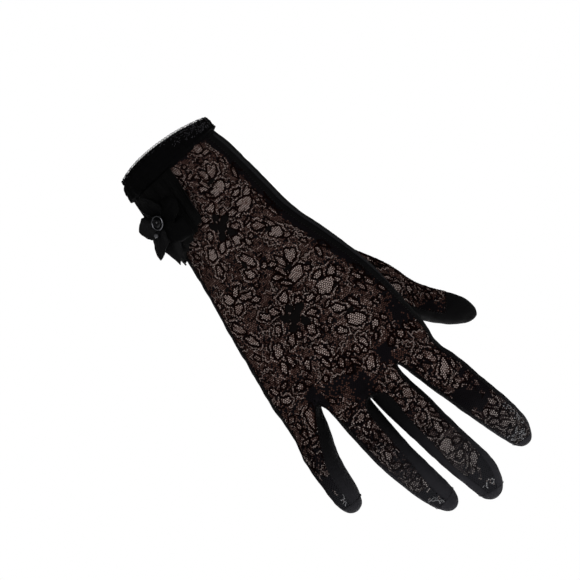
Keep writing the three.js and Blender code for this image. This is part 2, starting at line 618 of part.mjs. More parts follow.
// The ruffle: gathered at the band, puffed in the middle and lying on the cloth again at its hem.
const rufflePoint = (u, v, side) => {
  const row = between(RUFFLE, "place", u);
  const degrees = mix(row.from, row.to, v);
  const fold = 0.5 + 0.5 * Math.cos(2 * Math.PI * RUFFLE_FOLDS * u);
  const puff = Math.sin(Math.PI * mix(RUFFLE_PUFF.from, RUFFLE_PUFF.to, v)) ** RUFFLE_PUFF.fullness;
  const bulge = RUFFLE_PUFF.out * mix(RUFFLE_PUFF.least, 1, littleSide(degrees));
  const z = mix(RUFFLE_TOP, row.hem + fold, v);
  return handPoint(z, degrees, SEAT_GAP + puff * (bulge + FOLD_DEPTH * fold) + side * CLOTH);
};
addMesh("wrist_ruffle", sheetGeometry(RUFFLE_FOLDS * 4, RUFFLE_ROWS, rufflePoint), BLACK_SATIN);

// The flower's petals. Each leaves the hub in its own direction and bends over to its tip.
const hubCentre = vec(...FLOWER.centre);
const outOfFlower = vec(...FLOWER.normal).normalize();
const petalFrame = (petal, t) => {
  const tip = vec(...petal.tip);
  const away = tip.clone().sub(hubCentre);
  away.addScaledVector(outOfFlower, -away.dot(outOfFlower)).normalize();
  const root = hubCentre.clone().addScaledVector(away, FLOWER.hub).addScaledVector(outOfFlower, -petal.sink);
  const middle = root.clone().lerp(tip, 0.5).addScaledVector(outOfFlower, petal.arch);
  const curve = new THREE.QuadraticBezierCurve3(root, middle, tip);
  const along = curve.getTangent(t);
  const across = new THREE.Vector3().crossVectors(along, outOfFlower).normalize();
  const over = new THREE.Vector3().crossVectors(across, along).normalize();
  return { centre: curve.getPoint(t), across, over };
};
const petalPoint = (petal) => (t, u, side) => {
  const { centre, across, over } = petalFrame(petal, t);
  const { from, to, belly, fullness } = PETAL_SWELL;
  const swell = Math.sin(Math.PI * mix(from, to, t ** belly)) ** fullness;
  const half = (petal.width / 2) * swell;
  const s = 1 - 2 * u;
  const p = centre.addScaledVector(across, half * s);
  return p.addScaledVector(over, side * CLOTH - petal.cup * swell * s * s);
};
for (const petal of PETALS) {
  addMesh(petal.name, sheetGeometry(PETAL_STEPS, PETAL_QUADS, petalPoint(petal)), BLACK_SATIN);
}

// The bead in the middle of the flower, with a bright ring round it, and the small bead on a petal's root.
const faceOut = new THREE.Quaternion().setFromUnitVectors(vec(0, 0, 1), outOfFlower);
const bead = new THREE.SphereGeometry(BEAD.radius, 14, 8).scale(1, 1, BEAD.flat);
addMesh("flower_bead", bead.applyQuaternion(faceOut).translate(...FLOWER.centre), BLACK_GLASS);
const beadRing = new THREE.TorusGeometry(BEAD_RING.radius, BEAD_RING.wire, 6, 20);
addMesh("flower_bead_ring", beadRing.applyQuaternion(faceOut).translate(...FLOWER.centre), BLACK_GLASS);
{
  const { centre, over } = petalFrame(PETALS[SEED_BEAD.petal], SEED_BEAD.along);
  centre.addScaledVector(over, CLOTH + SEAT_GAP + SEED_BEAD.radius);
  const seed = new THREE.SphereGeometry(SEED_BEAD.radius, 10, 6);
  addMesh("seed_bead", seed.translate(centre.x, centre.y, centre.z), BLACK_GLASS);
}

export default glove;
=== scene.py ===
import math
import random

import bpy
import numpy as np
from mathutils import Matrix, Vector, noise
from mathutils.bvhtree import BVHTree


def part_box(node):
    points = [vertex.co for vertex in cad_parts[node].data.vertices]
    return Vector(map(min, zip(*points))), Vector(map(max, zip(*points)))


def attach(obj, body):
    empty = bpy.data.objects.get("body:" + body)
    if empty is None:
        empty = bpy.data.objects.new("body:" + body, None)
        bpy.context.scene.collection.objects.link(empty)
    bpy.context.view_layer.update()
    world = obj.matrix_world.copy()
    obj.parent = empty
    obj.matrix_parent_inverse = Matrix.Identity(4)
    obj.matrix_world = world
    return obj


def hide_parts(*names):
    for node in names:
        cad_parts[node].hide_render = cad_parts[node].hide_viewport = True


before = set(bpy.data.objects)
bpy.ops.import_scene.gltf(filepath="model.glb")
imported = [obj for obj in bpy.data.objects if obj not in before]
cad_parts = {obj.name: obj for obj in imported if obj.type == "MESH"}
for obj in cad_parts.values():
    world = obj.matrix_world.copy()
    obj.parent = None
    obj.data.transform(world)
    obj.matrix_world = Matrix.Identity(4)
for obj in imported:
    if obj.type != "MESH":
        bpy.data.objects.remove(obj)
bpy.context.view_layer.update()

# A lace dress glove, hanging by its wrist with the back of the hand to the camera.
# Tables are in millimetres, and materials in metres.
mm = 0.001


def addObject(name, data):
    added = bpy.data.objects.new(name, data)
    bpy.context.scene.collection.objects.link(added)
    return added


# Camera: looks along +Y, turned so that the fingers point to the lower right.
shot = {"lookAt": (-2.4, 0.0, -90.8), "distance": 2400.0, "widthSeen": 278.4, "roll": 42.9}
lens = bpy.data.cameras.new("camera")
cameraObject = addObject("camera", lens)
turn = math.radians(shot["roll"])
right = Vector((math.cos(turn), 0, -math.sin(turn)))
up = Vector((math.sin(turn), 0, math.cos(turn)))
back = right.cross(up)
placed = Matrix((right, up, back)).transposed().to_4x4()
placed.translation = (Vector(shot["lookAt"]) + back * shot["distance"]) * mm
cameraObject.matrix_world = placed
lens.angle = 2 * math.atan(shot["widthSeen"] / 2 / shot["distance"])
lens.clip_start = 0.05
lens.clip_end = 20
bpy.context.scene.camera = cameraObject
print("camera set")


def mix(a, b, t):
    return a + (b - a) * t


# What a smooth curve has at t of its start, of the way it leaves, of its end and of the way it arrives.
def curveShares(t):
    return 2 * t**3 - 3 * t**2 + 1, t**3 - 2 * t**2 + t, 3 * t**2 - 2 * t**3, t**3 - t**2


# The row of a table at v of its first column, with the other columns mixed smoothly in between.
def between(table, v):
    down = 1 if table[1][0] > table[0][0] else -1
    i = 0
    while i < len(table) - 2 and (v - table[i + 1][0]) * down > 0:
        i += 1
    a, b = table[i], table[i + 1]
    t = min(max((v - a[0]) / (b[0] - a[0]), 0.0), 1.0)
    before, after = table[max(i - 1, 0)], table[min(i + 2, len(table) - 1)]
    stay, leave, arrive, land = curveShares(t)
    row = []
    for o, p, q, r in zip(before, a, b, after):
        row.append(stay * p + leave * (q - o) / 2 + arrive * q + land * (r - p) / 2)
    return row


# Column k of a table at v of its first column, in straight lines.
def straight(table, v, k):
    i = 0
    while i < len(table) - 2 and table[i + 1][0] <= v:
        i += 1
    t = (v - table[i][0]) / (table[i + 1][0] - table[i][0])
    return mix(table[i][k], table[i + 1][k], t)


def power(v, exponent):
    return math.copysign(abs(v) ** exponent, v)


def unit(v):
    return v / np.maximum(np.linalg.norm(v, axis=1, keepdims=True), 1e-9)


# The way that a path goes at each of its places.
def waysAlong(path, closed):
    run = np.roll(path, -1, 0) - np.roll(path, 1, 0)
    if not closed:
        run[0], run[-1] = path[1] - path[0], path[-1] - path[-2]
    return unit(run)


# Materials. The two node groups are the effects that several of them use.
def newGroup(name, inputs, outputs):
    group = bpy.data.node_groups.new(name, "ShaderNodeTree")
    for label, kind, value in inputs:
        socket = group.interface.new_socket(name=label, in_out="INPUT", socket_type=kind)
        if value is not None:
            socket.default_value = value
    for label, kind in outputs:
        group.interface.new_socket(name=label, in_out="OUTPUT", socket_type=kind)
    return group, group.nodes.new("NodeGroupInput"), group.nodes.new("NodeGroupOutput")


def place(tree, kind, inputs=None, **settings):
    node = tree.nodes.new("ShaderNode" + kind)
    for key, value in settings.items():
        setattr(node, key, value)
    for key, value in (inputs or {}).items():
        if isinstance(value, bpy.types.NodeSocket):
            tree.links.new(value, node.inputs[key])
        else:
            node.inputs[key].default_value = value
    return node


def reckon(tree, operation, a, b):
    return place(tree, "Math", {0: a, 1: b}, operation=operation).outputs[0]


number, colour, vector = "NodeSocketFloat", "NodeSocketColor", "NodeSocketVector"

# Knitted loops: wales side by side, each a chain of slanting legs.
knit = {"valley": 1.6, "shade": 0.38, "fuzzScale": 900.0, "height": 0.0001}
knitLoops, given, result = newGroup(
    "knitLoops",
    [("Place", vector, None), ("Wales", number, 260.0), ("Courses", number, 330.0), ("Fuzz", number, 0.3)],
    [("Height", number), ("Shade", number)],
)
split = place(knitLoops, "SeparateXYZ", {0: given.outputs["Place"]})
wale = reckon(knitLoops, "MULTIPLY", split.outputs[0], given.outputs["Wales"])
course = reckon(knitLoops, "MULTIPLY", split.outputs[1], given.outputs["Courses"])
leg = reckon(knitLoops, "PINGPONG", wale, 0.5)
slant = reckon(knitLoops, "ADD", course, leg)
ridge = reckon(knitLoops, "SINE", reckon(knitLoops, "MULTIPLY", slant, math.tau), 0.0)
groove = reckon(knitLoops, "SINE", reckon(knitLoops, "MULTIPLY", leg, math.tau), 0.0)
loops = reckon(knitLoops, "MULTIPLY", reckon(knitLoops, "ADD", ridge, knit["valley"]), groove)
fuzz = place(knitLoops, "TexNoise", {"Scale": knit["fuzzScale"], "Detail": 3.0})
knitLoops.links.new(given.outputs["Place"], fuzz.inputs["Vector"])
loose = reckon(knitLoops, "MULTIPLY", fuzz.outputs[0], given.outputs["Fuzz"])
knitLoops.links.new(reckon(knitLoops, "ADD", loops, loose), result.inputs["Height"])
knitLoops.links.new(reckon(knitLoops, "MULTIPLY", loops, knit["shade"]), result.inputs["Shade"])

# Twisted yarn: fine fibres, with lighter and darker places.
twist = {"fibre": 1400.0, "patch": 90.0, "strength": 0.4, "height": 0.00008}
yarnTwist, given, result = newGroup(
    "yarnTwist",
    [("Colour", colour, None), ("Scale", number, twist["fibre"]), ("Change", number, 0.35)],
    [("Colour", colour), ("Height", number)],
)
where = place(yarnTwist, "TexCoord")
fibre = place(yarnTwist, "TexNoise", {"Scale": given.outputs["Scale"]})
broad = place(yarnTwist, "TexNoise", {"Scale": twist["patch"], "Detail": 2.0})
for pattern in (fibre, broad):
    yarnTwist.links.new(where.outputs["Object"], pattern.inputs["Vector"])
both = reckon(yarnTwist, "MULTIPLY", reckon(yarnTwist, "ADD", fibre.outputs[0], broad.outputs[0]), 0.5)
lift = reckon(yarnTwist, "SUBTRACT", both, 0.5)
gain = reckon(yarnTwist, "ADD", reckon(yarnTwist, "MULTIPLY", lift, given.outputs["Change"]), 1.0)
tinted = place(yarnTwist, "VectorMath", {0: given.outputs["Colour"]}, operation="SCALE")
yarnTwist.links.new(gain, tinted.inputs["Scale"])
yarnTwist.links.new(tinted.outputs[0], result.inputs["Colour"])
yarnTwist.links.new(fibre.outputs[0], result.inputs["Height"])


def newMaterial(name, finish):
    material = bpy.data.materials.new(name)
    material.use_nodes = True
    tree = material.node_tree
    shader = tree.nodes["Principled BSDF"]
    values = {
        "Roughness": finish["rough"], "Specular IOR Level": finish.get("gloss", 0.2),
        "Sheen Weight": finish.get("sheen", 0), "Sheen Roughness": 0.45, "Metallic": finish.get("metal", 0),
    }
    for label, value in values.items():
        shader.inputs[label].default_value = value
    material.diffuse_color = (*finish["colour"], 1)
    return material, tree, shader


def splitPlace(tree):
    where = place(tree, "TexCoord")
    return place(tree, "SeparateXYZ", {0: where.outputs["Object"]}).outputs


def mixColours(tree, share, first, second):
    blend = place(tree, "Mix", {0: share}, data_type="RGBA", blend_type="MIX")
    tree.links.new(first, blend.inputs["A"])
    blend.inputs["B"].default_value = (*second, 1)
    return blend.outputs[2]


# Painted sheen: cloth stretched thin over the fingertips catches the light and looks greyer there, so that
# colour is mixed in by height, and only a little on the palm side.
tipSheenFade = {"slant": 0.35, "backY": 0.007, "palmY": 0.015, "onPalm": 0.1}


def paintTipSheen(tree, cloth, finish):
    if "tips" not in finish:
        return cloth
    x, y, z = splitPlace(tree)
    height = reckon(tree, "ADD", z, reckon(tree, "MULTIPLY", x, tipSheenFade["slant"]))
    low, high = finish["tipRange"]
    thin = place(tree, "MapRange", {0: height, 1: high, 2: low})
    thin.interpolation_type = "SMOOTHSTEP"
    onBack = place(tree, "MapRange", {0: y, 1: tipSheenFade["backY"], 2: tipSheenFade["palmY"], 3: 1.0})
    onBack.inputs[4].default_value = tipSheenFade["onPalm"]
    share = reckon(tree, "MULTIPLY", thin.outputs[0], onBack.outputs[0])
    return mixColours(tree, share, cloth, finish["tips"])


def yarnOf(tree, finish):
    yarn = place(tree, "Group", node_tree=yarnTwist)
    yarn.inputs["Colour"].default_value = (*finish["colour"], 1)
    yarn.inputs["Change"].default_value = finish["change"]
    return yarn


def addRelief(tree, shader, height, strength, distance):
    bump = place(tree, "Bump", {"Height": height, "Strength": strength, "Distance": distance})
    tree.links.new(bump.outputs[0], shader.inputs["Normal"])


# Cloth with knitted loops: jersey, satin and the gathered cloth.
def knitMaterial(name, finish):
    material, tree, shader = newMaterial(name, finish)
    flat = place(tree, "UVMap", uv_map="flat")
    loops = place(tree, "Group", node_tree=knitLoops)
    tree.links.new(flat.outputs[0], loops.inputs["Place"])
    for label in ("Wales", "Courses", "Fuzz"):
        loops.inputs[label].default_value = finish[label.lower()]
    yarn = yarnOf(tree, finish)
    # Painted highlight: the raised ridges of the knitted loops get a lighter colour.
    lit = mixColours(tree, loops.outputs["Shade"], yarn.outputs["Colour"], finish["ridge"])
    cloth = paintTipSheen(tree, lit, finish)
    # Painted shade: the colour darkens along x, as on the ruffle where it meets the lace.
    if "darkRange" in finish:
        low, high, least = finish["darkRange"]
        x = splitPlace(tree)[0]
        shaded = place(tree, "MapRange", {0: x, 1: low, 2: high, 3: 1.0, 4: least})
        dimmed = place(tree, "VectorMath", {0: cloth}, operation="SCALE")
        tree.links.new(shaded.outputs[0], dimmed.inputs["Scale"])
        cloth = dimmed.outputs[0]
    tree.links.new(cloth, shader.inputs["Base Color"])
    addRelief(tree, shader, loops.outputs["Height"], finish["relief"], knit["height"])
    return material


# Thread: the cords, net and stitches. Painted shade makes the net dark on its inner faces and where it faces
# the palm side, away from the light.
palmShade = {"from": -0.1, "to": 0.4, "most": 0.92}


def threadMaterial(name, finish):
    material, tree, shader = newMaterial(name, finish)
    yarn = yarnOf(tree, finish)
    outside = paintTipSheen(tree, yarn.outputs["Colour"], finish)
    if "inside" in finish:
        facing = place(tree, "NewGeometry")
        y = place(tree, "SeparateXYZ", {0: facing.outputs["Normal"]}).outputs[1]
        onPalm = place(tree, "MapRange", {0: y, 1: palmShade["from"], 2: palmShade["to"]})
        onPalm.inputs[4].default_value = palmShade["most"]
        dark = reckon(tree, "MAXIMUM", facing.outputs["Backfacing"], onPalm.outputs[0])
        outside = mixColours(tree, dark, outside, finish["inside"])
    tree.links.new(outside, shader.inputs["Base Color"])
    addRelief(tree, shader, yarn.outputs["Height"], twist["strength"], twist["height"])
    return material


# Each finish: colour, roughness, gloss, and how much its yarn changes. Knitted ones also have a lighter
# colour painted on their ridges as highlight, loops to the metre, fuzz and relief. The tips colour is painted
# sheen at the fingertips, coming in over tipRange, and the dark range is painted shade: where along x a
# colour darkens, and how much.
gatheredLoops = {"wales": 200.0, "courses": 230.0, "fuzz": 1.4, "relief": 0.9, "change": 0.8}
satinLoops = {"wales": 420.0, "courses": 140.0, "fuzz": 0.3, "relief": 0.3, "change": 0.5}
# The inside colour is painted shade for the net's inner faces and for faces turned to the palm side.
netYarn = {"rough": 0.9, "gloss": 0.02, "tipRange": (-0.215, -0.15), "inside": (0.008, 0.006, 0.006)}
finishes = {
    "jersey": {
        "colour": (0.0021, 0.002, 0.0022), "ridge": (0.0056, 0.0054, 0.0058), "rough": 0.72, "gloss": 0.03,
        "wales": 290.0, "courses": 340.0, "fuzz": 0.5, "relief": 0.55, "change": 0.5,
        "tips": (0.021, 0.0205, 0.024), "tipRange": (-0.216, -0.168),
    },
    "gathered": {
        "colour": (0.0016, 0.0015, 0.0016), "ridge": (0.0044, 0.0044, 0.0048), "rough": 0.82, "gloss": 0.02,
        **gatheredLoops,
    },
    "puffed": {
        "colour": (0.003, 0.003, 0.0031), "ridge": (0.0075, 0.0075, 0.0078), "rough": 0.6, "gloss": 0.06,
        "darkRange": (-0.024, -0.015, 0.4), **gatheredLoops,
    },
    # This darker copy of the satin is painted shade for the petals turned from the light; the satin is the
    # lit copy.
    "satinShade": {
        "colour": (0.0006, 0.0006, 0.0007), "ridge": (0.0014, 0.0014, 0.0016), "rough": 0.5, "gloss": 0.034,
        **satinLoops,
    },
    "satin": {
        "colour": (0.0016, 0.0016, 0.0018), "ridge": (0.0036, 0.0036, 0.004), "rough": 0.38, "gloss": 0.07,
        "sheen": 0.002, **satinLoops,
    },
    "cord": {
        "colour": (0.0042, 0.0012, 0.0007), "rough": 0.85, "gloss": 0.01, "change": 0.8,
        "tips": (0.017, 0.014, 0.0145), "tipRange": (-0.21, -0.18),
    },
    "roll": {
        "colour": (0.0035, 0.003, 0.003), "rough": 0.8, "gloss": 0.02, "change": 0.6,
        "tips": (0.02, 0.0195, 0.0225), "tipRange": (-0.216, -0.168),
    },
    "netClear": {"colour": (0.41, 0.33, 0.305), "change": 0.6, "tips": (0.24, 0.217, 0.21), **netYarn},
    "netPale": {"colour": (0.25, 0.184, 0.166), "change": 0.7, "tips": (0.15, 0.134, 0.131), **netYarn},
    "netPlain": {"colour": (0.102, 0.061, 0.051), "change": 0.8, "tips": (0.062, 0.054, 0.055), **netYarn},
    "netDim": {"colour": (0.052, 0.0255, 0.02), "change": 0.9, "tips": (0.033, 0.029, 0.031), **netYarn},
    "netDark": {
        **netYarn, "colour": (0.006, 0.005, 0.0062), "change": 0.9, "tips": (0.02, 0.02, 0.023),
        "tipRange": (-0.21, -0.175),
    },
    # Painted glints: bright yarn that stands in for light caught by the lace near the tips.
    "netBright": {
        "colour": (0.24, 0.24, 0.25), "rough": 0.45, "gloss": 0.3, "change": 0.8, "inside": netYarn["inside"],
    },
    "stitch": {"colour": (0.007, 0.007, 0.0085), "rough": 0.6, "gloss": 0.15, "change": 0.6},
    "slub": {"colour": (0.031, 0.031, 0.035), "rough": 0.5, "gloss": 0.2, "change": 1.0},
    "bead": {"colour": (0.002, 0.002, 0.0025), "rough": 0.12, "gloss": 0.16, "change": 0.2},
    # The seed bead's lighter colour is a painted highlight.
    "seedBead": {"colour": (0.05, 0.05, 0.054), "rough": 0.2, "gloss": 0.4, "change": 0.2},
    "beadRing": {"colour": (0.12, 0.12, 0.13), "rough": 0.22, "gloss": 0.5, "metal": 1.0, "change": 0.3},
}
materials = {}
for name, finish in finishes.items():
    make = knitMaterial if "wales" in finish else threadMaterial
    materials[name] = make(name, finish)
print("materials made")
chartUnit = 100  # millimetres of cloth in one unit of the flat UV map


def addPiece(name, points, faces, slots, uv=None, faceSlots=None):
    mesh = bpy.data.meshes.new(name)
    mesh.from_pydata((np.asarray(points) * mm).tolist(), [], [list(map(int, f)) for f in faces])
    for slot in slots:
        mesh.materials.append(materials[slot])
    if faceSlots is not None:
        mesh.polygons.foreach_set("material_index", np.asarray(faceSlots, np.int32))
    if uv is not None:
        layer = mesh.uv_layers.new(name="flat")
        layer.data.foreach_set("uv", (np.asarray(uv, np.float32) / chartUnit).ravel())
    mesh.polygons.foreach_set("use_smooth", np.ones(len(mesh.polygons), bool))
    mesh.update()
    piece = addObject(name, mesh)
    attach(piece, "root")
    return piece


# The form of the hand: a tube from the wrist to the finger webs.
# z, x and y of the middle, half width, depth to the back, depth to the palm, squareness, seam angle
handTable = [
    (-3, -1.2, 0.0, 23.4, 17.2, 17.2, 2.1, 38),
    (-20, -0.4, 0.2, 25.0, 16.9, 17.4, 2.15, 38),
    (-46, -1.6, 0.5, 27.4, 15.7, 17.6, 2.25, 38),
    (-60, -2.8, 0.9, 29.2, 15.1, 18.0, 2.3, 37),
    (-84, -3.3, 1.4, 34.5, 14.3, 18.0, 2.4, 33),
    (-108, -4.2, 1.7, 39.0, 13.5, 16.4, 2.5, 28),
    (-132, -6.6, 1.6, 41.5, 12.0, 13.4, 2.6, 23),
    (-152, -8.0, 1.5, 42.0, 9.9, 10.2, 2.7, 19),
]
# The lower edge of the tube, where fingers begin or end: column of the cage, angle, height
corners = [
    (0, 19, -149), (4, 70, -150), (8, 90.5, -153), (12, 115, -139), (16, 162, -134), (20, 207, -134),
    (24, 245, -139.5), (28, 269.5, -153), (32, 290, -150), (36, 331, -149), (41, 379, -149),
]
# Knuckles, and hollows between the fingers: x, z, height, width, length
knuckles = [
    (24, -124, 1.4, 6.5, 11), (4.5, -128, 1.6, 6.5, 11), (-15, -124, 1.4, 6.5, 11),
    (-33, -115, 1.2, 6.5, 10),
    (13.7, -146, -1.6, 3.5, 9), (-6.7, -148, -1.6, 3.5, 9), (-27, -135, -1.6, 3.5, 9),
]
# Stations of the fingers: x, y, z, half width, half depth, first and last angle of the lace.
# laceEnds is the ring where the plain tip begins.
fingers = {
    "index": {
        "stations": [
            (22.5, 2.0, -157, 10.0, 9.1, 36, 146), (24.5, 2.6, -168, 10.2, 8.8, 36, 146),
            (26.4, 3.6, -178.5, 9.9, 8.5, 36, 146), (27.9, 5.0, -188.5, 9.5, 8.2, 36, 146),
            (29.7, 6.7, -198.5, 9.1, 7.7, 36, 146), (31.0, 8.5, -207.5, 8.5, 7.1, 36, 144),
            (31.5, 10.0, -214.5, 7.4, 6.0, 38, 142), (31.1, 11.0, -219.3, 5.6, 4.4, 42, 138),
            (30.7, 11.6, -222.1, 3.1, 2.4, 46, 134),
        ],
        "tip": (30.4, 11.8, -223.1), "laceEnds": 8,
    },
    "middle": {
        "stations": [
            (0.6, 1.5, -160, 9.9, 9.0, 38, 105), (1.5, 2.0, -171, 10.1, 8.9, 38, 114),
            (2.0, 2.8, -182, 10.0, 8.7, 38, 118), (2.6, 4.0, -192.5, 9.8, 8.5, 38, 122),
            (3.5, 5.6, -203, 9.7, 8.1, 40, 132), (4.5, 7.3, -212.5, 9.5, 7.5, 48, 130),
            (4.6, 9.0, -220.5, 8.7, 6.7, 58, 122), (3.4, 10.3, -227.0, 6.7, 5.2, 66, 114),
            (2.5, 11.0, -230.6, 3.9, 3.0, 72, 108),
        ],
        "tip": (2.1, 11.3, -232.0), "laceEnds": 8,
    },
    "ring": {
        "stations": [
            (-19.4, 1.8, -159, 9.6, 8.9, 62, 142), (-19.8, 2.4, -170, 9.3, 8.6, 62, 146),
            (-19.8, 3.4, -180, 9.1, 8.3, 64, 148), (-19.3, 4.8, -190, 8.7, 7.9, 70, 148),
            (-18.4, 6.5, -200, 8.2, 7.4, 82, 148), (-17.3, 8.2, -208.5, 7.5, 6.7, 90, 146),
            (-16.1, 9.5, -215, 6.4, 5.5, 92, 142), (-15.5, 10.3, -219.3, 4.8, 4.2, 92, 138),
            (-15.2, 10.7, -221.4, 2.7, 2.3, 92, 134),
        ],
        "tip": (-15.1, 10.9, -222.2), "laceEnds": 7,
    },
    "little": {
        "stations": [
            (-41.2, 2.5, -147.5, 9.2, 8.4, 68, 156), (-44.8, 3.2, -156.5, 8.5, 8.0, 80, 158),
            (-47.2, 4.3, -165, 7.9, 7.5, 92, 158), (-48.6, 5.6, -173, 7.3, 7.0, 96, 158),
            (-49.7, 7.0, -180, 7.0, 6.4, 98, 156), (-50.4, 8.2, -185.6, 5.9, 5.3, 98, 150),
            (-50.6, 9.0, -189.3, 4.0, 3.6, 98, 142),
        ],
        "tip": (-50.7, 9.3, -191.2), "laceEnds": 6,
    },
}
# The thumb has the same without the lace's angles. Top, bottom, first and last are the rows and columns of
# its hole in the tube, and the lace runs round it from laceFrom to laceTo.
thumb = {
    "stations": [
        (28.6, 24.3, -112, 11.0, 10.8), (32.2, 27.0, -120.5, 10.3, 10.1), (34.6, 29.3, -128, 9.4, 9.3),
        (37.6, 31.5, -135.0, 8.9, 8.6), (41.7, 33.7, -141.5, 8.4, 8.0), (46.0, 35.6, -147.3, 8.1, 7.4),
        (50.0, 37.0, -152.5, 7.4, 6.6), (53.1, 38.0, -157.0, 5.8, 5.0), (55.1, 38.5, -160.2, 3.4, 2.9),
    ],
    "tip": (56.1, 38.8, -161.8), "back": (0.25, -0.95, -0.1), "laceFrom": -2, "laceTo": 4, "laceEnds": 9,
    "top": 6, "bottom": 11, "first": 31, "last": 37, "oval": 0.75, "skinRings": 4, "lift": 0.12,
    "relax": 10, "relaxShare": 0.6, "relaxEnd": 0.06, "chartX": 24.0, "chartTop": -88.0, "chartAngle": 50,
}
form = {
    "wristZ": -7.0, "rows": 14, "columns": 41, "laceColumns": 16, "palmEnd": 36, "littleSeam": 162,
    "webDip": 2.6, "webFullness": 0.7, "palmSeams": (205, 335), "chartHalf": 37.0, "detail": 3,
    "perFinger": 4, "webSteps": 4, "arcStep": 3.0,
}


# A place on the tube, moved out by grow. Angles run from the thumb side over the back of the hand.
def handPoint(z, degrees, grow=0.0):
    _, x0, y0, half, toBack, toPalm, square, _ = between(handTable, z)
    c, d = math.cos(math.radians(degrees)), math.sin(math.radians(degrees))
    x = x0 + (half + grow) * power(c, 2 / square)
    y = y0 - ((toBack if d > 0 else toPalm) + grow) * power(d, 2 / square)
    if d > 0:
        for kx, kz, height, wide, long in knuckles:
            y -= height * math.exp(-(((x - kx) / wide) ** 2) - ((z - kz) / long) ** 2)
    return Vector((x, y, z))


# Columns of the lace spread evenly between the seams. The others come to the webs' angles as t goes to 1.
def columnAngle(column, z, t):
    seam = between(handTable, z)[7]
    atWeb = straight(corners, column, 1)
    webSeam, little, laceEnd = corners[0][1], form["littleSeam"], form["laceColumns"]
    if column <= laceEnd:
        return seam + (little - seam) * (atWeb - webSeam) / (little - webSeam)
    even = mix(little, seam + 360, (column - laceEnd) / (form["columns"] - laceEnd))
    share = (atWeb - little) / (webSeam + 360 - little)
    return mix(even, little + (seam + 360 - little) * share, t * t)


# How far a place lies from the middle of the back, measured round the hand, with the width evened out.
def chartX(z, degrees):
    way = 1 if degrees > 90 else -1
    steps = max(1, int(abs(degrees - 90) / form["arcStep"]))
    last, length = handPoint(z, 90), 0.0
    for k in range(1, steps + 1):
        here = handPoint(z, mix(90, degrees, k / steps))
        length += (here - last).length
        last = here
    return -way * length * form["chartHalf"] / between(handTable, z)[3]


points, cageFaces = [], []  # the cage, and its faces as (panel, corners, chart places)


def addPoint(p):
    points.append(Vector(p))
    return len(points) - 1


def middleOf(ids):
    return sum((points[i] for i in ids), Vector()) / len(ids)


# The four corners of a cell between row r and the next one, and between columns i and j.
def cellOf(grid, r, i, j):
    return grid[r][i], grid[r][j], grid[r + 1][j], grid[r + 1][i]


# The rows and columns about the thumb's hole, pulled in so that the hole is oval.
def ovalPlace(row, column):
    top, bottom, first, last = (thumb[k] for k in ("top", "bottom", "first", "last"))
    u = (2 * row - top - bottom) / (bottom - top)
    v = (2 * column - first - last) / (last - first)
    if max(abs(u), abs(v)) > 1:
        return row, column
    newU = u * mix(1, math.sqrt(1 - v * v / 2), thumb["oval"])
    newV = v * mix(1, math.sqrt(1 - u * u / 2), thumb["oval"])
    return (top + bottom + newU * (bottom - top)) / 2, (first + last + newV * (last - first)) / 2


def tubePlace(row, column):
    t = row / form["rows"]
    z = mix(form["wristZ"], straight(corners, column, 2), t)
    angle = columnAngle(column, z, t)
    return handPoint(z, angle), (chartX(z, angle), z)


rows, columns, palmEnd, perFinger = (form[k] for k in ("rows", "columns", "palmEnd", "perFinger"))
tube, tubeChart = [], []
for row in range(rows + 1):
    made = [tubePlace(*ovalPlace(row, column)) for column in range(columns + 1)]
    tube.append([addPoint(p) for p, _ in made[:columns]])
    tubeChart.append([chart for _, chart in made])
for row in range(rows):
    for column in range(columns):
        inHole = thumb["top"] <= row < thumb["bottom"] and thumb["first"] <= column < thumb["last"]
        if inHole:
            continue
        panel = "back_panel" if column < form["laceColumns"] else "palm_panel"
        ids = cellOf(tube, row, column, (column + 1) % columns)
        cageFaces.append((panel, ids, cellOf(tubeChart, row, column, column + 1)))


# The web between two fingers, from the back to the palm.
def webLine(backCorner, palmCorner):
    a, b = points[tube[rows][backCorner]], points[tube[rows][palmCorner]]
    line = [tube[rows][backCorner]]
    for i in range(1, form["webSteps"]):
        share = i / form["webSteps"]
        p = a.lerp(b, share)
        p.z -= form["webDip"] * math.sin(math.pi * share) ** form["webFullness"]
        line.append(addPoint(p))
    return [*line, tube[rows][palmCorner]]


webs = [webLine(perFinger * f, palmEnd - perFinger * f) for f in (1, 2, 3)]


def hem(start, stop):
    return [tube[rows][c % columns] for c in range(start, stop + 1)]


# The two ways across a finger at one of its stations: to the side and to the back.
def crossFrame(centres, i, start, tip, backWay):
    before = centres[i - 1] if i else start
    after = centres[i + 1] if i + 1 < len(centres) else tip
    along = (after - before).normalized()
    side = backWay.cross(along).normalized()
    return side, along.cross(side).normalized()


# Joins rings of point ids. Each ring has its chart places, with one more than it has points.
def joinRings(rings, charts, tip, tipChart, panelOf):
    count = len(rings[0])
    for r, ring in enumerate(rings):
        for i in range(count):
            j = (i + 1) % count
            if r + 1 < len(rings):
                ids, places = cellOf(rings, r, i, j), cellOf(charts, r, i, i + 1)
            else:
                ids = (ring[i], ring[j], tip)
                places = (charts[r][i], charts[r][i + 1], tipChart)
            cageFaces.append((panelOf(r, i), ids, places))


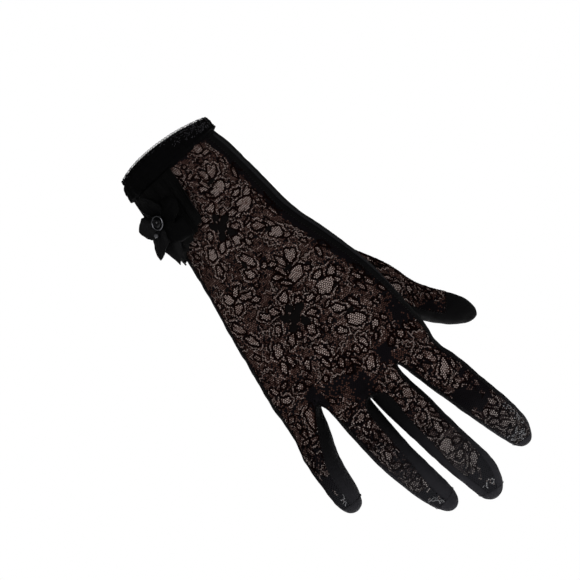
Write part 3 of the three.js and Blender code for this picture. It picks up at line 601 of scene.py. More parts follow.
fingerMiddles, chartRows = {}, {}
fourchettes = ["fourchette_index_middle", "fourchette_middle_ring", "fourchette_ring_little"]
for f, (name, finger) in enumerate(fingers.items()):
    past = perFinger * f
    edge = hem(form["laceColumns"], form["laceColumns"] + perFinger)
    littleSide = edge if name == "little" else webs[f]
    thumbSide = hem(palmEnd, columns) if name == "index" else webs[f - 1][::-1]
    palmSide = hem(palmEnd - past - perFinger, palmEnd - past)
    parts = [hem(past, past + perFinger), littleSide, palmSide, thumbSide]
    root = [i for part in parts for i in part[:-1]]
    counts = [len(part) - 1 for part in parts]
    start = middleOf(root)
    centres = [Vector(s[:3]) for s in finger["stations"]]
    tip = Vector(finger["tip"])
    rings, charts = [root], []
    middle = sum(tubeChart[rows][past + k][0] for k in range(perFinger + 1)) / (perFinger + 1)
    fingerMiddles[name] = middle
    depth, last = start.z, start
    chartRows[name] = []
    for i, (x, _, z, wide, high, laceFrom, laceTo) in enumerate(finger["stations"]):
        side, upWay = crossFrame(centres, i, start, tip, Vector((0, -1, 0)))
        depth -= (centres[i] - last).length
        last = centres[i]
        radius, turned = (wide + high) / 2, (laceFrom + laceTo) / 2
        chartRows[name].append((z, x, wide, radius, turned, depth))
        stops = [laceFrom, laceTo, *form["palmSeams"], 360 + laceFrom]
        ring, chart = [], []
        for part, count in enumerate(counts):
            for k in range(count):
                degrees = mix(stops[part], stops[part + 1], k / count)
                a = math.radians(degrees)
                ring.append(addPoint(centres[i] + side * wide * math.cos(a) + upWay * high * math.sin(a)))
                chart.append((middle - radius * math.radians(degrees - turned), depth))
        chart.append((middle - radius * math.radians(360 + laceFrom - turned), depth))
        rings.append(ring)
        charts.append(chart)
    rootChart = [(x, start.z) for x, _ in charts[0]]
    rootChart[:perFinger + 1] = tubeChart[rows][past:past + perFinger + 1]
    charts.insert(0, rootChart)

    def panelOf(r, i, f=f, counts=counts, ends=finger["laceEnds"]):
        if i < counts[0]:
            return "back_panel" if r < ends else "palm_panel"
        if r >= ends:
            return "palm_panel"
        if i < counts[0] + counts[1]:
            return fourchettes[f] if f < 3 else "palm_panel"
        if i >= counts[0] + counts[1] + counts[2]:
            return fourchettes[f - 1] if f > 0 else "palm_panel"
        return "palm_panel"

    joinRings(rings, charts, addPoint(tip), (middle, depth - 1), panelOf)

# The thumb, from the outline of its hole: row, column and angle of each place round it.
top, bottom, first, last = (thumb[k] for k in ("top", "bottom", "first", "last"))
outline = []
row, column, startAngle = top, last, 45
for down, across in ((1, 0), (0, -1), (-1, 0), (0, 1)):
    steps = bottom - top if down else last - first
    for i in range(steps):
        outline.append((row, column, startAngle + 90 * i / steps))
        row, column = row + down, column + across
    startAngle += 90
around = len(outline)
root = [tube[row][column] for row, column, _ in outline]
start = middleOf(root)
centres = [Vector(s[:3]) for s in thumb["stations"]]
tip = Vector(thumb["tip"])
stationRings = []
for i, (*_, wide, high) in enumerate(thumb["stations"]):
    side, upWay = crossFrame(centres, i, start, tip, Vector(thumb["back"]))
    ring = []
    for _, _, degrees in outline:
        a = math.radians(degrees)
        ring.append(centres[i] + side * wide * math.cos(a) + upWay * high * math.sin(a))
    stationRings.append(ring)
# Rings of skin curve from the hole to the first station, and are relaxed to lie evenly.
along = (centres[1] - centres[0]).normalized()
rings = [root]
for step in range(1, thumb["skinRings"]):
    stay, go, arrive, land = curveShares(step / thumb["skinRings"])
    ring = []
    for k, (row, column, _) in enumerate(outline):
        leaveFrom, arriveAt = points[root[k]], stationRings[0][k]
        low = (row - top) / (bottom - top)
        outwards = points[tube[row][(column + 1) % columns]] - points[tube[row][column - 1]]
        outwards = outwards.cross(Vector((0, 0, 1))).normalized()
        leave = (Vector((0, 0, low - 1)) + outwards * mix(thumb["lift"], 1, low)).normalized()
        reach = (arriveAt - leaveFrom).length
        p = leaveFrom * stay + arriveAt * arrive
        p += leave * reach * go + along * reach * land
        ring.append(addPoint(p))
    rings.append(ring)
rings += [[addPoint(p) for p in ring] for ring in stationRings]
for _ in range(thumb["relax"]):
    for step in range(1, thumb["skinRings"] + 1):
        for k in range(around):
            ring = rings[step]
            near = (rings[step - 1][k], rings[step + 1][k], ring[(k + 1) % around], ring[k - 1])
            even = middleOf(near)
            share = thumb["relaxShare"] if step < thumb["skinRings"] else thumb["relaxEnd"]
            points[ring[k]] = points[ring[k]].lerp(even, share)
depth, charts, lastCentre = thumb["chartTop"], [], None
for ring in rings:
    centre = middleOf(ring)
    if lastCentre is not None:
        depth -= (centre - lastCentre).length
    lastCentre = centre
    radius = sum((points[i] - centre).length for i in ring) / around
    chart = []
    for degrees in [degrees for *_, degrees in outline] + [startAngle]:
        degrees = degrees - 360 if degrees > 225 else degrees
        chart.append((thumb["chartX"] - radius * math.radians(degrees - thumb["chartAngle"]), depth))
    charts.append(chart)


def thumbPanel(r, i):
    spot = i - around if i >= around + thumb["laceFrom"] else i
    return "thumb_back" if r < thumb["laceEnds"] and spot < thumb["laceTo"] else "thumb_front"


joinRings(rings, charts, addPoint(tip), (thumb["chartX"], depth - 1), thumbPanel)
panels = ["back_panel", "palm_panel", *fourchettes, "thumb_back", "thumb_front"]

# The cage becomes one smooth surface that still passes through its points.
cageMesh = bpy.data.meshes.new("cage")
cageMesh.from_pydata([p[:] for p in points], [], [ids for _, ids, _ in cageFaces])
cageMesh.polygons.foreach_set("material_index", [panels.index(panel) for panel, _, _ in cageFaces])
layer = cageMesh.uv_layers.new(name="flat")
layer.data.foreach_set("uv", [v for _, _, places in cageFaces for spot in places for v in spot])
for panel in panels:
    cageMesh.materials.append(None)
cage = addObject("cage", cageMesh)
subdivide = cage.modifiers.new("smooth", "SUBSURF")
wanted = np.array([p[:] for p in points])


def smoothed():
    bpy.context.view_layer.update()
    found = cage.evaluated_get(bpy.context.evaluated_depsgraph_get())
    return found.to_mesh()


def readArray(items, what, width, kind=np.float32):
    out = np.empty(len(items) * width, kind)
    items.foreach_get(what, out)
    return out if kind == np.int32 else out.reshape(-1, width).astype(float)


def smoothPoints():
    return readArray(smoothed().vertices, "co", 3)[: len(wanted)]


subdivide.levels = 1
moved = wanted.copy()
for _ in range(3):
    moved += wanted - smoothPoints()
    cageMesh.vertices.foreach_set("co", moved.astype(np.float32).ravel())
    cageMesh.update()
print("cage fits within", round(float(np.abs(wanted - smoothPoints()).max()), 3), "mm")
subdivide.levels = form["detail"]
fine = smoothed()
surfacePoints, surfaceNormals = readArray(fine.vertices, "co", 3), readArray(fine.vertex_normals, "vector", 3)
chart = readArray(fine.uv_layers["flat"].data, "uv", 2).reshape(-1, 4, 2)
quads = readArray(fine.loops, "vertex_index", 1, np.int32).reshape(-1, 4)
panelIndex = readArray(fine.polygons, "material_index", 1, np.int32)
cage.to_mesh_clear()
bpy.data.objects.remove(cage)
print("surface", len(surfacePoints), "points,", len(quads), "quads")


# One panel's own points, quads and chart places.
def cutPanel(panel):
    own = panelIndex == panels.index(panel)
    used, new = np.unique(quads[own], return_inverse=True)
    return {"ids": used, "quads": new.reshape(-1, 4), "chart": chart[own]}


def rimEdges(quadList):
    edges = np.concatenate([quadList[:, [k, (k + 1) % 4]] for k in range(4)])
    key = np.sort(edges, axis=1)
    _, spot, uses = np.unique(key, axis=0, return_index=True, return_counts=True)
    return edges[spot[uses == 1]]


# The faces of cloth with an outside, an inside and a rim, and their chart places.
def twoFaced(outside, outsideChart, count, rimChart):
    rim = rimEdges(outside)
    walls = np.stack([rim[:, 1], rim[:, 0], rim[:, 0] + count, rim[:, 1] + count], axis=1)
    faces = np.concatenate([outside, outside[:, ::-1] + count, walls])
    wallChart = np.broadcast_to(rimChart, (len(walls), 4, 2))
    return faces, np.concatenate([outsideChart, outsideChart[:, ::-1], wallChart])


# A panel of cloth. Its outer face is moved out by lift, a number for each point.
def clothPiece(name, cut, slots, thickness, lift):
    normals = surfaceNormals[cut["ids"]]
    outer = surfacePoints[cut["ids"]] + normals * lift[:, None]
    faces, uv = twoFaced(cut["quads"], cut["chart"], len(outer), 0.0)
    return addPiece(name, np.concatenate([outer, outer - normals * thickness]), faces, slots, uv=uv)


# Finds places of a panel from its chart: which triangle of the flat cloth holds a point, and where that is.
def chartFinder(cut):
    flat, ids = cut["chart"], cut["quads"]
    flat = np.concatenate([flat[:, [0, 1, 2]], flat[:, [0, 2, 3]]])
    ids = cut["ids"][np.concatenate([ids[:, [0, 1, 2]], ids[:, [0, 2, 3]]])]
    spots = np.pad(flat.reshape(-1, 2), ((0, 0), (0, 1))).tolist()
    tree = BVHTree.FromPolygons(spots, np.arange(len(spots)).reshape(-1, 3).tolist())
    return {"tree": tree, "flat": flat, "ids": ids}


def findTriangles(finder, places):
    found = np.full(len(places), -1)
    nearest = finder["tree"].find_nearest
    for k, (x, z) in enumerate(np.asarray(places).tolist()):
        index = nearest((x, z, 0.0), 0.02)[2]
        if index is not None:
            found[k] = index
    return found


def onCloth(finder, triangles, places, lift=0.0):
    flat, ids = finder["flat"][triangles], finder["ids"][triangles]
    a, b, c = flat[:, 0], flat[:, 1] - flat[:, 0], flat[:, 2] - flat[:, 0]
    p = places - a
    area = b[:, 0] * c[:, 1] - b[:, 1] * c[:, 0]
    s = (p[:, 0] * c[:, 1] - p[:, 1] * c[:, 0]) / area
    t = (b[:, 0] * p[:, 1] - b[:, 1] * p[:, 0]) / area
    weights = np.stack([1 - s - t, s, t], axis=1)[:, :, None]
    normals = unit((surfaceNormals[ids] * weights).sum(1))
    return (surfacePoints[ids] * weights).sum(1) + normals * np.reshape(lift, (-1, 1))


# The lace: a net, cords round its petals, pale bands beside them, veins, curls and solid middles.
lace = {
    "repeat": 55.0, "repeats": (-1, 0, 1, 2), "repeatEnd": -118.0, "fingerTop": -149, "littleTop": -139,
    "littleX": -33, "seed": 4, "toneSeed": 9, "stretch": 0.3, "lobe": 0.17, "scallops": 5, "wave": 2.8,
    "band": 1.5, "bandWave": 0.6, "bandHalf": 0.5, "banded": 1.9, "fingerBanded": 1.5,
}
# The net. Each junction has one of six yarns, from clear to dark and then the bright yarn of painted glints:
# the radius of its dot, its depth in the cloth, the tone that calls for it, and the yarn of its threads.
net = {
    "pitch": 1.0, "wobble": 0.08, "threadHalf": 0.085, "inSolid": 0.35,
    "dot": (0.345, 0.35, 0.37, 0.385, 0.38, 0.35), "sink": (0.25, 0.23, 0.21, 0.19, 0.16, 0.2),
    "shades": (0.95, 0.6, 0.34, 0.16, 0.03), "threadYarn": (3, 3, 4, 4, 4, 3),
}
# Tones of the net, from 0 to 1: the ground, a petal's rim, the pale band and the dark line beside it, the
# inside of a petal, painted shade at the sides of the hand, painted sheen at the tips, painted shadow, chance
# and painted glints.
tones = {
    "ground": 0.26, "fingerDrop": 0.1, "fadeLong": 8, "small": 0.1, "broad": 0.12, "fingerBroad": 0.26,
    "rim": 0.04, "rimAt": 0.25, "rimHalf": 0.5, "band": 0.8, "beside": 0.2, "besideAt": 0.95,
    "besideHalf": 0.4, "petal": 0.5, "byWidth": 0.13, "least": -0.38, "fingerLeast": -0.15, "most": 0.2,
    "petalFine": 0.16, "petalBroad": 0.1, "side": 0.35, "sideShadeFrom": 35, "sideShadeWide": 8, "tip": 0.15,
    "tipFrom": -188, "tipLong": 14, "shadow": 0.97, "chance": 0.13, "calm": 0.72, "glintFrom": -0.4,
    "sparkle": (0.6, 0.36), "sparkleX": 12, "dimGlint": 0.64,
}
# The petals of one repeat, charted: x, z, half length, half width, the way that the end points, and
# how narrow the end is, where it is
petalChart = [
    (5.2, -87, 4.7, 3, 10), (12, -100.8, 4.4, 3.6, 15), (11.8, -66, 3.4, 3.1, -50, 0.2),
    (-27, -74.6, 3.1, 2.5, -70, 0.3), (-22.6, -74.2, 2.7, 2, -130, 0.45), (-26.6, -80.9, 2.5, 2, 0),
    (-20.2, -78.8, 3.3, 2.2, 160, 0.3), (-17.6, -82.9, 2.5, 1.4, 155, 0.2),
    (-33.2, -88, 4.4, 2.3, -58, 0.35), (-32.2, -96.8, 4.2, 2.2, -58, 0.35),
    (-19.6, -92.6, 3.2, 1.9, -42, 0.35), (-15, -93.6, 2.8, 2.2, -50, 0.4),
    (-7, -91.7, 2.4, 3.4, -90, 0.5), (-3.2, -97, 2.3, 1.9, -150, 0.45), (1.8, -100, 2.7, 2.1, 175, 0.45),
    (5, -102.6, 2.4, 1.3, 20, 0.2), (9.2, -78.8, 3.6, 2.9, -125, 0.4), (4.3, -78, 3.1, 2, -85, 0.4),
    (10.9, -88.6, 2, 1.3, -60), (-2.6, -82.5, 2.6, 1.4, -45, 0.2), (0.5, -81.4, 3.5, 1.2, -72, 0.1),
    (-0.3, -76.2, 2, 1.2, -35), (-1.5, -87.4, 3.1, 1.1, -55, 0.3), (12.4, -94.4, 1.6, 2.9, -90, 0.3),
    (18.2, -97.3, 3, 2.2, -160, 0.4), (16.9, -102, 2.2, 1.4, -70), (20.3, -86.6, 3.1, 1.4, -110, 0.3),
    (24.3, -85.4, 2.8, 1.4, -80, 0.3), (-7.3, -67, 4.2, 2.3, -72, 0.35),
    (-11.2, -72.4, 2.6, 2.1, -60, 0.2), (-3.4, -73.8, 1.7, 1.3, 30), (14.2, -70, 2.2, 1.6, -30),
    (-26.8, -108.6, 3.6, 2.8, -110, 0.3), (-30, -116.3, 2.9, 1.9, 80, 0.3),
    (-25.6, -116.2, 3.2, 1.6, 98, 0.3), (-17.6, -108.8, 3.2, 2.1, 42, 0.4),
    (-13.4, -109.2, 2, 1.9, 70, 0.3), (-7.5, -110.8, 2.8, 2.6, 105, 0.45),
    (-3.6, -110.8, 2.5, 1.3, 75, 0.2), (-2.2, -105.6, 2.6, 2.3, 150, 0.45), (-2.8, -115.6, 2.3, 1.2, -70),
    (9.4, -113, 3.4, 2.4, -50, 0.35), (16, -116, 3.9, 1.5, -75, 0.2), (28.6, -106.2, 3.6, 1.3, -90),
    (25.6, -107.3, 2.6, 1.2, -80), (28.4, -113, 2.6, 1.6, -80), (23.9, -112.4, 3.5, 1.1, -85),
    (-19.6, -101.2, 2.4, 1.9, 60, 0.3), (-32.6, -73.6, 1.8, 1.3, -80), (-12.6, -78.4, 1.5, 0.9, -60),
    (18.6, -78, 1.7, 1, -70), (22, -99.4, 2.5, 1, -75, 0.2), (-36, -104, 2.3, 1.3, -70),
    (-1.6, -68.5, 1.2, 1, 0), (1.8, -114.2, 1.7, 1.2, 30), (6.6, -107.8, 2.4, 0.9, 15),
]
# The motifs that are worked solid
solidChart = [
    (-9.4, -101.4, 3.3, 3, 0), (-13, -99.2, 2.6, 2.1, 150), (-4.8, -99.8, 2.8, 2.1, 25),
    (-13.4, -105.2, 2.7, 2.2, -140), (-6.8, -106.4, 2.7, 2.1, -60), (-8.8, -96.4, 2.3, 2, 90),
    (4.8, -82.3, 2.4, 1.2, 0), (12.4, -117.3, 2.3, 1.2, 0), (-10.3, -67, 2.2, 0.8, 90),
    (14.9, -103.9, 1.4, 0.8, 20), (-24.4, -70.4, 1.3, 0.8, 0), (-14, -97, 1, 0.8, 0),
]
# The petals of the knuckles and fingers, which don't repeat
lowChart = [
    (12, -122.4, 4.8, 3, -38, 0.1), (-10.6, -122.2, 4.8, 2.2, -66, 0.2), (-13.2, -128, 3, 1.5, -80, 0.2),
    (-8, -129.2, 1.8, 0.9, 20), (-30.6, -128.6, 2.3, 2, -60, 0.2), (-26.4, -129.6, 2.1, 1.7, -80),
    (-39.8, -128.4, 3.1, 1.9, -30, 0.2), (-41, -121.6, 2.7, 1.5, -60), (1.4, -133.4, 2.6, 1.5, -85, 0.2),
    (6.9, -132.6, 3.5, 1.9, -80, 0.2), (4.4, -136.2, 1.6, 1.2, 0), (-3, -132.2, 1.8, 1, -35),
    (-8, -132.6, 2.3, 1.5, 60), (-3, -137.4, 2.8, 1.3, -70, 0.2), (-7.2, -138, 1.9, 1.3, 20),
    (2.2, -142.4, 3.7, 2.5, 30, 0.2), (16.4, -141.6, 2.3, 1.6, 50, 0.2), (21.8, -141.8, 2.2, 1.8, -80),
    (26.2, -141.4, 2.1, 1.1, -80), (28.9, -142.6, 2.2, 0.9, -85), (20, -136.4, 2.5, 1.1, 72),
    (16.4, -130.2, 2.4, 1.7, 30), (21.6, -130.8, 1.9, 1.2, -50), (2.6, -121.8, 3, 2, -50, 0.3),
    (-20.4, -122.4, 2.6, 1.8, 60, 0.3), (-35.4, -122.4, 2.2, 1.2, 10), (30.6, -119.6, 2.2, 1.2, -80),
    (24, -122.4, 1.8, 1.1, -60), (-18.6, -133.6, 1.7, 1.2, 20), (13.2, -135, 1.6, 1.1, 40),
    (-39.3, -142.6, 4.8, 3.1, -86, 0.55), (-44, -137.6, 2.2, 1.6, 20), (-46.2, -142, 1.9, 1.1, -70),
    (-44.6, -146.8, 2.3, 1.2, -80), (-42.4, -151.2, 2.3, 1.6, 15, 0.2), (-47, -151.2, 2.4, 1.2, 20),
    (-48.2, -155.2, 2.4, 1.3, -60), (-51, -160.4, 2.2, 0.8, 50), (-53.2, -166, 3, 0.9, -85),
    (-52.8, -175.4, 2.6, 0.8, -75), (-29.8, -148.6, 2.7, 1.2, -80), (-23.6, -144.2, 1.9, 1.1, -60),
    (-22.3, -153.2, 1.9, 1.3, 20), (-17.8, -152.4, 2, 1, 10), (-19.4, -158.8, 3.2, 1.8, 8, 0.2),
    (-15.9, -161.2, 1.5, 1.1, -60), (-18, -164, 2.3, 1.5, 30, 0.2), (-22.3, -165, 2.2, 0.9, -85),
    (-19.8, -169, 2.6, 1.2, 60), (-16.8, -173, 3.8, 1.3, -85), (-18.8, -178, 2, 1.3, -60),
    (-22.2, -180.4, 2.4, 1.6, 70), (-22.6, -186.2, 2.5, 1.9, -20, 0.2), (-19, -189.4, 2.3, 1, -20),
    (-18, -194.4, 3, 1.3, 15), (-22, -198.4, 2.9, 1.5, -50), (-17.4, -200.8, 2.6, 1.9, 35, 0.2),
    (-19.6, -204.4, 1.8, 0.9, 10), (-2.2, -153.6, 1.9, 1.5, 0), (6.3, -154.6, 2.7, 1.8, -85, 0.2),
    (2.4, -157.6, 2.2, 1.6, 20), (-1.6, -161.8, 1.8, 1.2, -60), (2.6, -161.6, 1.7, 0.9, 10),
    (5.7, -165.8, 3, 2.6, -85), (-0.6, -166.8, 2.2, 1.6, -70), (3, -170.8, 1.6, 1, 20),
    (7.2, -173.4, 2.7, 2.1, -60, 0.2), (2.8, -178, 2.4, 1.6, 30), (8.6, -179, 2, 1.2, -60),
    (4.8, -186.2, 3.6, 1.8, -94, 0.2), (1, -186.8, 2.7, 1.6, -60, 0.2), (8.2, -188.2, 2.2, 1.3, -70),
    (1.8, -195.4, 3.7, 3.1, 80), (7.2, -197.2, 2.4, 1.7, -40, 0.2), (3.6, -202.6, 2.4, 1.6, 20),
    (8.2, -202.4, 2.3, 1.2, 50), (7.2, -208.6, 3.8, 2.2, 38, 0.2), (2.4, -212, 2.3, 1.6, 30),
    (3.6, -217, 2.2, 1, 40), (25.4, -160.6, 4, 2.2, -88, 0.2), (20.9, -162.2, 2.2, 1.3, -85),
    (26.4, -168.2, 5, 2.3, 36, 0.2), (21.4, -156.6, 1.8, 1.5, 0), (29.6, -161.8, 1.9, 1.1, -80),
    (17.4, -161.4, 1.9, 1, -80), (17, -156.8, 1.9, 1, -75), (18.9, -168.4, 3, 1, -85),
    (31, -170, 2.3, 1.1, 40), (24.6, -177.2, 2, 1.2, -60), (27.8, -176.8, 2.5, 1.9, -60, 0.2),
    (31.2, -178.6, 2.2, 1.4, 20), (18, -177.8, 2.8, 1, -68), (33, -184.2, 1.9, 1, 60),
    (21.9, -194.6, 2.3, 1.3, -75), (26, -196, 2.3, 1.2, 30), (28.7, -198.6, 3.4, 1.6, -85, 0.2),
    (32, -195, 2.8, 1.6, -70), (26.2, -201.6, 2.6, 1.5, -42), (32.6, -202.4, 2, 1.3, -60),
    (29.4, -206, 3, 1.6, -42), (33, -208.2, 2.7, 1.5, 60), (28.8, -210.6, 2, 1.2, 10),
]
# Painted glints near the tips: patches whose threads are bright, standing in for light caught by the lace
glintChart = [
    (36.2, -203.2, 4, 1.5, -82), (36.4, -210.4, 3.2, 1.2, -84), (27.4, -214.6, 2.8, 1.1, -66),
    (31.2, -217.4, 3.2, 1.1, 0), (34, -214.8, 2.2, 0.9, 20), (30.4, -213, 1.4, 1, 0),
    (6, -222.2, 2, 2, 0), (2.4, -221.6, 1.6, 0.6, -60), (-17.3, -215.2, 2, 0.6, -5),
    (-18.4, -211, 2.6, 0.5, 45), (-22, -208.8, 1.4, 0.9, 0), (-51.8, -181.4, 2, 1.2, -40),
]
# Stretches of the fingers that are plain: the finger, and where they begin and end
plainStretches = [
    ("index", -180, -191), ("middle", -212, -240), ("ring", -205, -230), ("little", -168, -200),
]
plainEdge = {"uneven": 6.0, "size": 4.5, "reach": 13}
# Painted shadow where the finger roots and their gussets lie in shade, under the cuff, beside the ruffle and
# at other shaded places: x, z, half width, half length, strength
shadowChart = [
    (10.8, -143.5, 4, 5.5, 1), (-8.5, -149.5, 5.5, 10, 0.9), (-30, -141, 4.5, 9.5, 0.95),
    (29.5, -132, 4.5, 7, 0.9), (-17.5, -140.5, 8, 4.5, 0.72), (3, -7, 11, 4, 1), (17, -7.5, 9, 4.4, 1),
    (-10.5, -17, 3, 9, 0.9),
]
shadowEdge = {"broad": 0.55, "fine": 0.3, "full": 1.5, "cordsTo": 0.5}
# The lace's margin along the thumb side is plain and dark, partly as a wider edge of the dark side band and
# partly as painted shade where the cloth turns from the light: height, and how wide it is
marginTable = [(-125, 0), (-108, 3.4), (-80, 4.4), (-45, 4.2), (-5, 4)]
marginEdge = {"uneven": 1.2, "soft": 1.6}
dice = np.random.default_rng(lace["seed"])
latticeSize = 64
lattice = dice.random((latticeSize, latticeSize)) * 2 - 1


# A soft random pattern on the chart, from -1 to 1. Size is in millimetres.
def speckle(places, size, shift=0.0):
    p = places / size + shift
    cell = np.floor(p).astype(int)
    part = p - cell
    part = part * part * (3 - 2 * part)
    i, j = cell[:, 0] % latticeSize, cell[:, 1] % latticeSize
    right, over = (i + 1) % latticeSize, (j + 1) % latticeSize
    low = mix(lattice[i, j], lattice[right, j], part[:, 0])
    high = mix(lattice[i, over], lattice[right, over], part[:, 0])
    return mix(low, high, part[:, 1])


def widthAt(z):
    return between(handTable, z)[3]


# Where a place on the back of the hand lies on the chart.
def toChart(x, z):
    row = between(handTable, z)
    share = min(max((x - row[1]) / row[3], -0.995), 0.995)
    return chartX(z, math.degrees(math.acos(power(share, row[6] / 2)))), z


# Where a place on the back of a finger lies on the chart. The chart runs on past the first station.
fingerBorders = {"index": 12.5, "middle": -9, "ring": -32, "little": -100}


def toFingerChart(x, z):
    name = next(name for name, border in fingerBorders.items() if x > border)
    table = chartRows[name]
    _, centre, half, radius, turned, depth = between(table, z)
    share = min(max((x - centre) / half, -0.98), 0.98)
    along = depth + max(0.0, z - table[0][0])
    return fingerMiddles[name] - radius * (math.acos(share) - math.radians(turned)), along


# Each motif of a table in its place: place, half length, half width, way, narrowness, stretch, order
def layOut(table, firstOrder=0, repeats=(0,)):
    laid = []
    for k, (x, z, long, wide, way, *narrow) in enumerate(table):
        for repeat in repeats:
            here = z + repeat * lace["repeat"]
            size, stretch = 1.0, 1.0
            if here < lace["fingerTop"] or (x < lace["littleX"] and here < lace["littleTop"]):
                spot, here = toFingerChart(x, here)
            else:
                spot = toChart(x, z)[0]
                size = (widthAt(here) / widthAt(z)) ** lace["stretch"]
                stretch = form["chartHalf"] / widthAt(here)
            order = firstOrder + k
            narrows = narrow[0] if narrow else 0
            laid.append((spot, here, long * size, wide * size, math.radians(way), narrows, stretch, order))
    return np.array(laid)


def aboveKnuckles(laid):
    return laid[laid[:, 1] > lace["repeatEnd"]]


upper = aboveKnuckles(layOut(petalChart, 0, lace["repeats"]))
petals = np.concatenate([upper, layOut(lowChart, len(petalChart))])
solids = aboveKnuckles(layOut(solidChart, 0, lace["repeats"]))
glints = layOut(glintChart)
banded = []
for row in [*petalChart, *lowChart]:
    banded.append(row[3] >= lace["fingerBanded" if row[1] < lace["fingerTop"] else "banded"])
large = petals[[banded[int(order)] for order in petals[:, 7]]]
toneRng = random.Random(lace["toneSeed"])
petalTones = []
for motif in petals:
    least = tones["least"] if motif[1] < corners[0][2] else tones["fingerLeast"]
    tone = tones["petal"] + tones["byWidth"] * motif[3] + toneRng.uniform(least, tones["most"])
    petalTones.append(min(1.0, tone))
petalTones = np.array(petalTones)
# The waves of a petal's outline: how high, how many, and how far each petal turns them
outlineWaves = [(0.07, 3, 1.7), (0.05, 2, 2.3), (0.03, 9, 1)]


# A motif's outline, moved out by grow.
def motifRim(motif, grow, count):
    x, z, long, wide, way, narrow, stretch, order = motif
    theta = np.linspace(0, math.tau, count, endpoint=False)
    outside = 0.5 - 0.5 * np.cos(theta)
    scallop = np.abs(np.sin(lace["scallops"] / 2 * (theta - math.pi) + 0.5 * math.pi * (order % 2)))
    wave = 1
    for high, waves, turned in outlineWaves:
        wave = wave + high * np.sin(waves * theta + order * turned)
    wave += lace["lobe"] * outside * (2 * scallop - 1)
    u = (long + grow) * wave * np.cos(theta)
    v = (wide + grow) * wave * np.sin(theta) * (1 - narrow * (1 - outside))
    c, s = math.cos(way), math.sin(way)
    return np.stack([x + (u * c - v * s) * stretch, z + u * s + v * c], 1)


# For each place, how far the nearest outline is, with less than 0 inside, whose it is, and how far along it.
def motifField(table, places):
    nearest, who, along = np.full(len(places), 9.0), np.zeros(len(places), int), np.zeros(len(places))
    for k, motif in enumerate(table):
        reach = motif[2] * motif[6] + 4
        near = np.flatnonzero((np.abs(places - motif[:2]) < reach).all(1))
        if not len(near):
            continue
        start = motifRim(motif, 0, 28)
        run = np.roll(start, -1, 0) - start
        away = places[near][:, None] - start
        t = np.clip((away * run).sum(-1) / (run * run).sum(-1), 0, 1)
        gaps = np.linalg.norm(away - run * t[..., None], axis=-1)
        side = gaps.argmin(1)
        pick = np.arange(len(near))
        above = away[..., 1] < 0
        crosses = above != np.roll(above, -1, 1)
        leftOf = away[..., 0] < run[:, 0] * away[..., 1] / np.where(run[:, 1] == 0, 1e-9, run[:, 1])
        inside = (crosses & leftOf).sum(1) % 2 == 1
        gap = np.where(inside, -1, 1) * gaps[pick, side]
        better = gap < nearest[near]
        nearest[near[better]] = gap[better]
        who[near[better]] = k
        length = np.concatenate([[0], np.cumsum(np.linalg.norm(run, axis=1))])
        along[near[better]] = (length[side] + t[pick, side] * (length[side + 1] - length[side]))[better]
    return nearest, who, along


# The pale band beside an outline runs in a zigzag.
def zigzag(along, order):
    turn = along / lace["wave"] + order * 0.37
    return np.abs(2 * (turn - np.floor(turn)) - 1) * 2 - 1


def inStretch(places, finger, first, last):
    near = np.abs(places[:, 0] - fingerMiddles[finger]) < plainEdge["reach"]
    edge = plainEdge["uneven"] * speckle(places, plainEdge["size"], 3.0)
    return near & (places[:, 1] < first + edge) & (places[:, 1] > last + edge)


def isPlain(places):
    return np.any([inStretch(places, *stretch) for stretch in plainStretches], axis=0)


marginHeights, marginWidths = zip(*marginTable)
marginSeam = [chartX(z, between(handTable, z)[7]) for z in marginHeights]


# How much painted shade a place gets, from 0 to 1, from the dark margin and the painted shadows of the shadow
# chart.
def shadowAt(places):
    fromSeam = np.interp(places[:, 1], marginHeights, marginSeam) - places[:, 0]
    width = np.interp(places[:, 1], marginHeights, marginWidths)
    inMargin = width - fromSeam + marginEdge["uneven"] * speckle(places, 2.0, 11.0)
    dark = np.clip(inMargin / marginEdge["soft"] + 0.5, 0, 1) * np.minimum(width, 1)
    for x, z, wide, long, strength in shadowChart:
        share = ((places[:, 0] - toChart(x, z)[0]) / wide) ** 2 + ((places[:, 1] - z) / long) ** 2
        uneven = 1 + shadowEdge["broad"] * speckle(places, 3.2, 6.0)
        share *= uneven + shadowEdge["fine"] * speckle(places, 1.3, 8.0)
        dark = np.maximum(dark, strength * np.minimum(shadowEdge["full"] * np.exp(-share), 1.0))
    return dark


# Where cords are shown.
def isOpen(places):
    return ~isPlain(places) & (shadowAt(places) < shadowEdge["cordsTo"])


# Which of netSlots the net has at each place.
netSlots = ["netClear", "netPale", "netPlain", "netDim", "netDark", "netBright"]


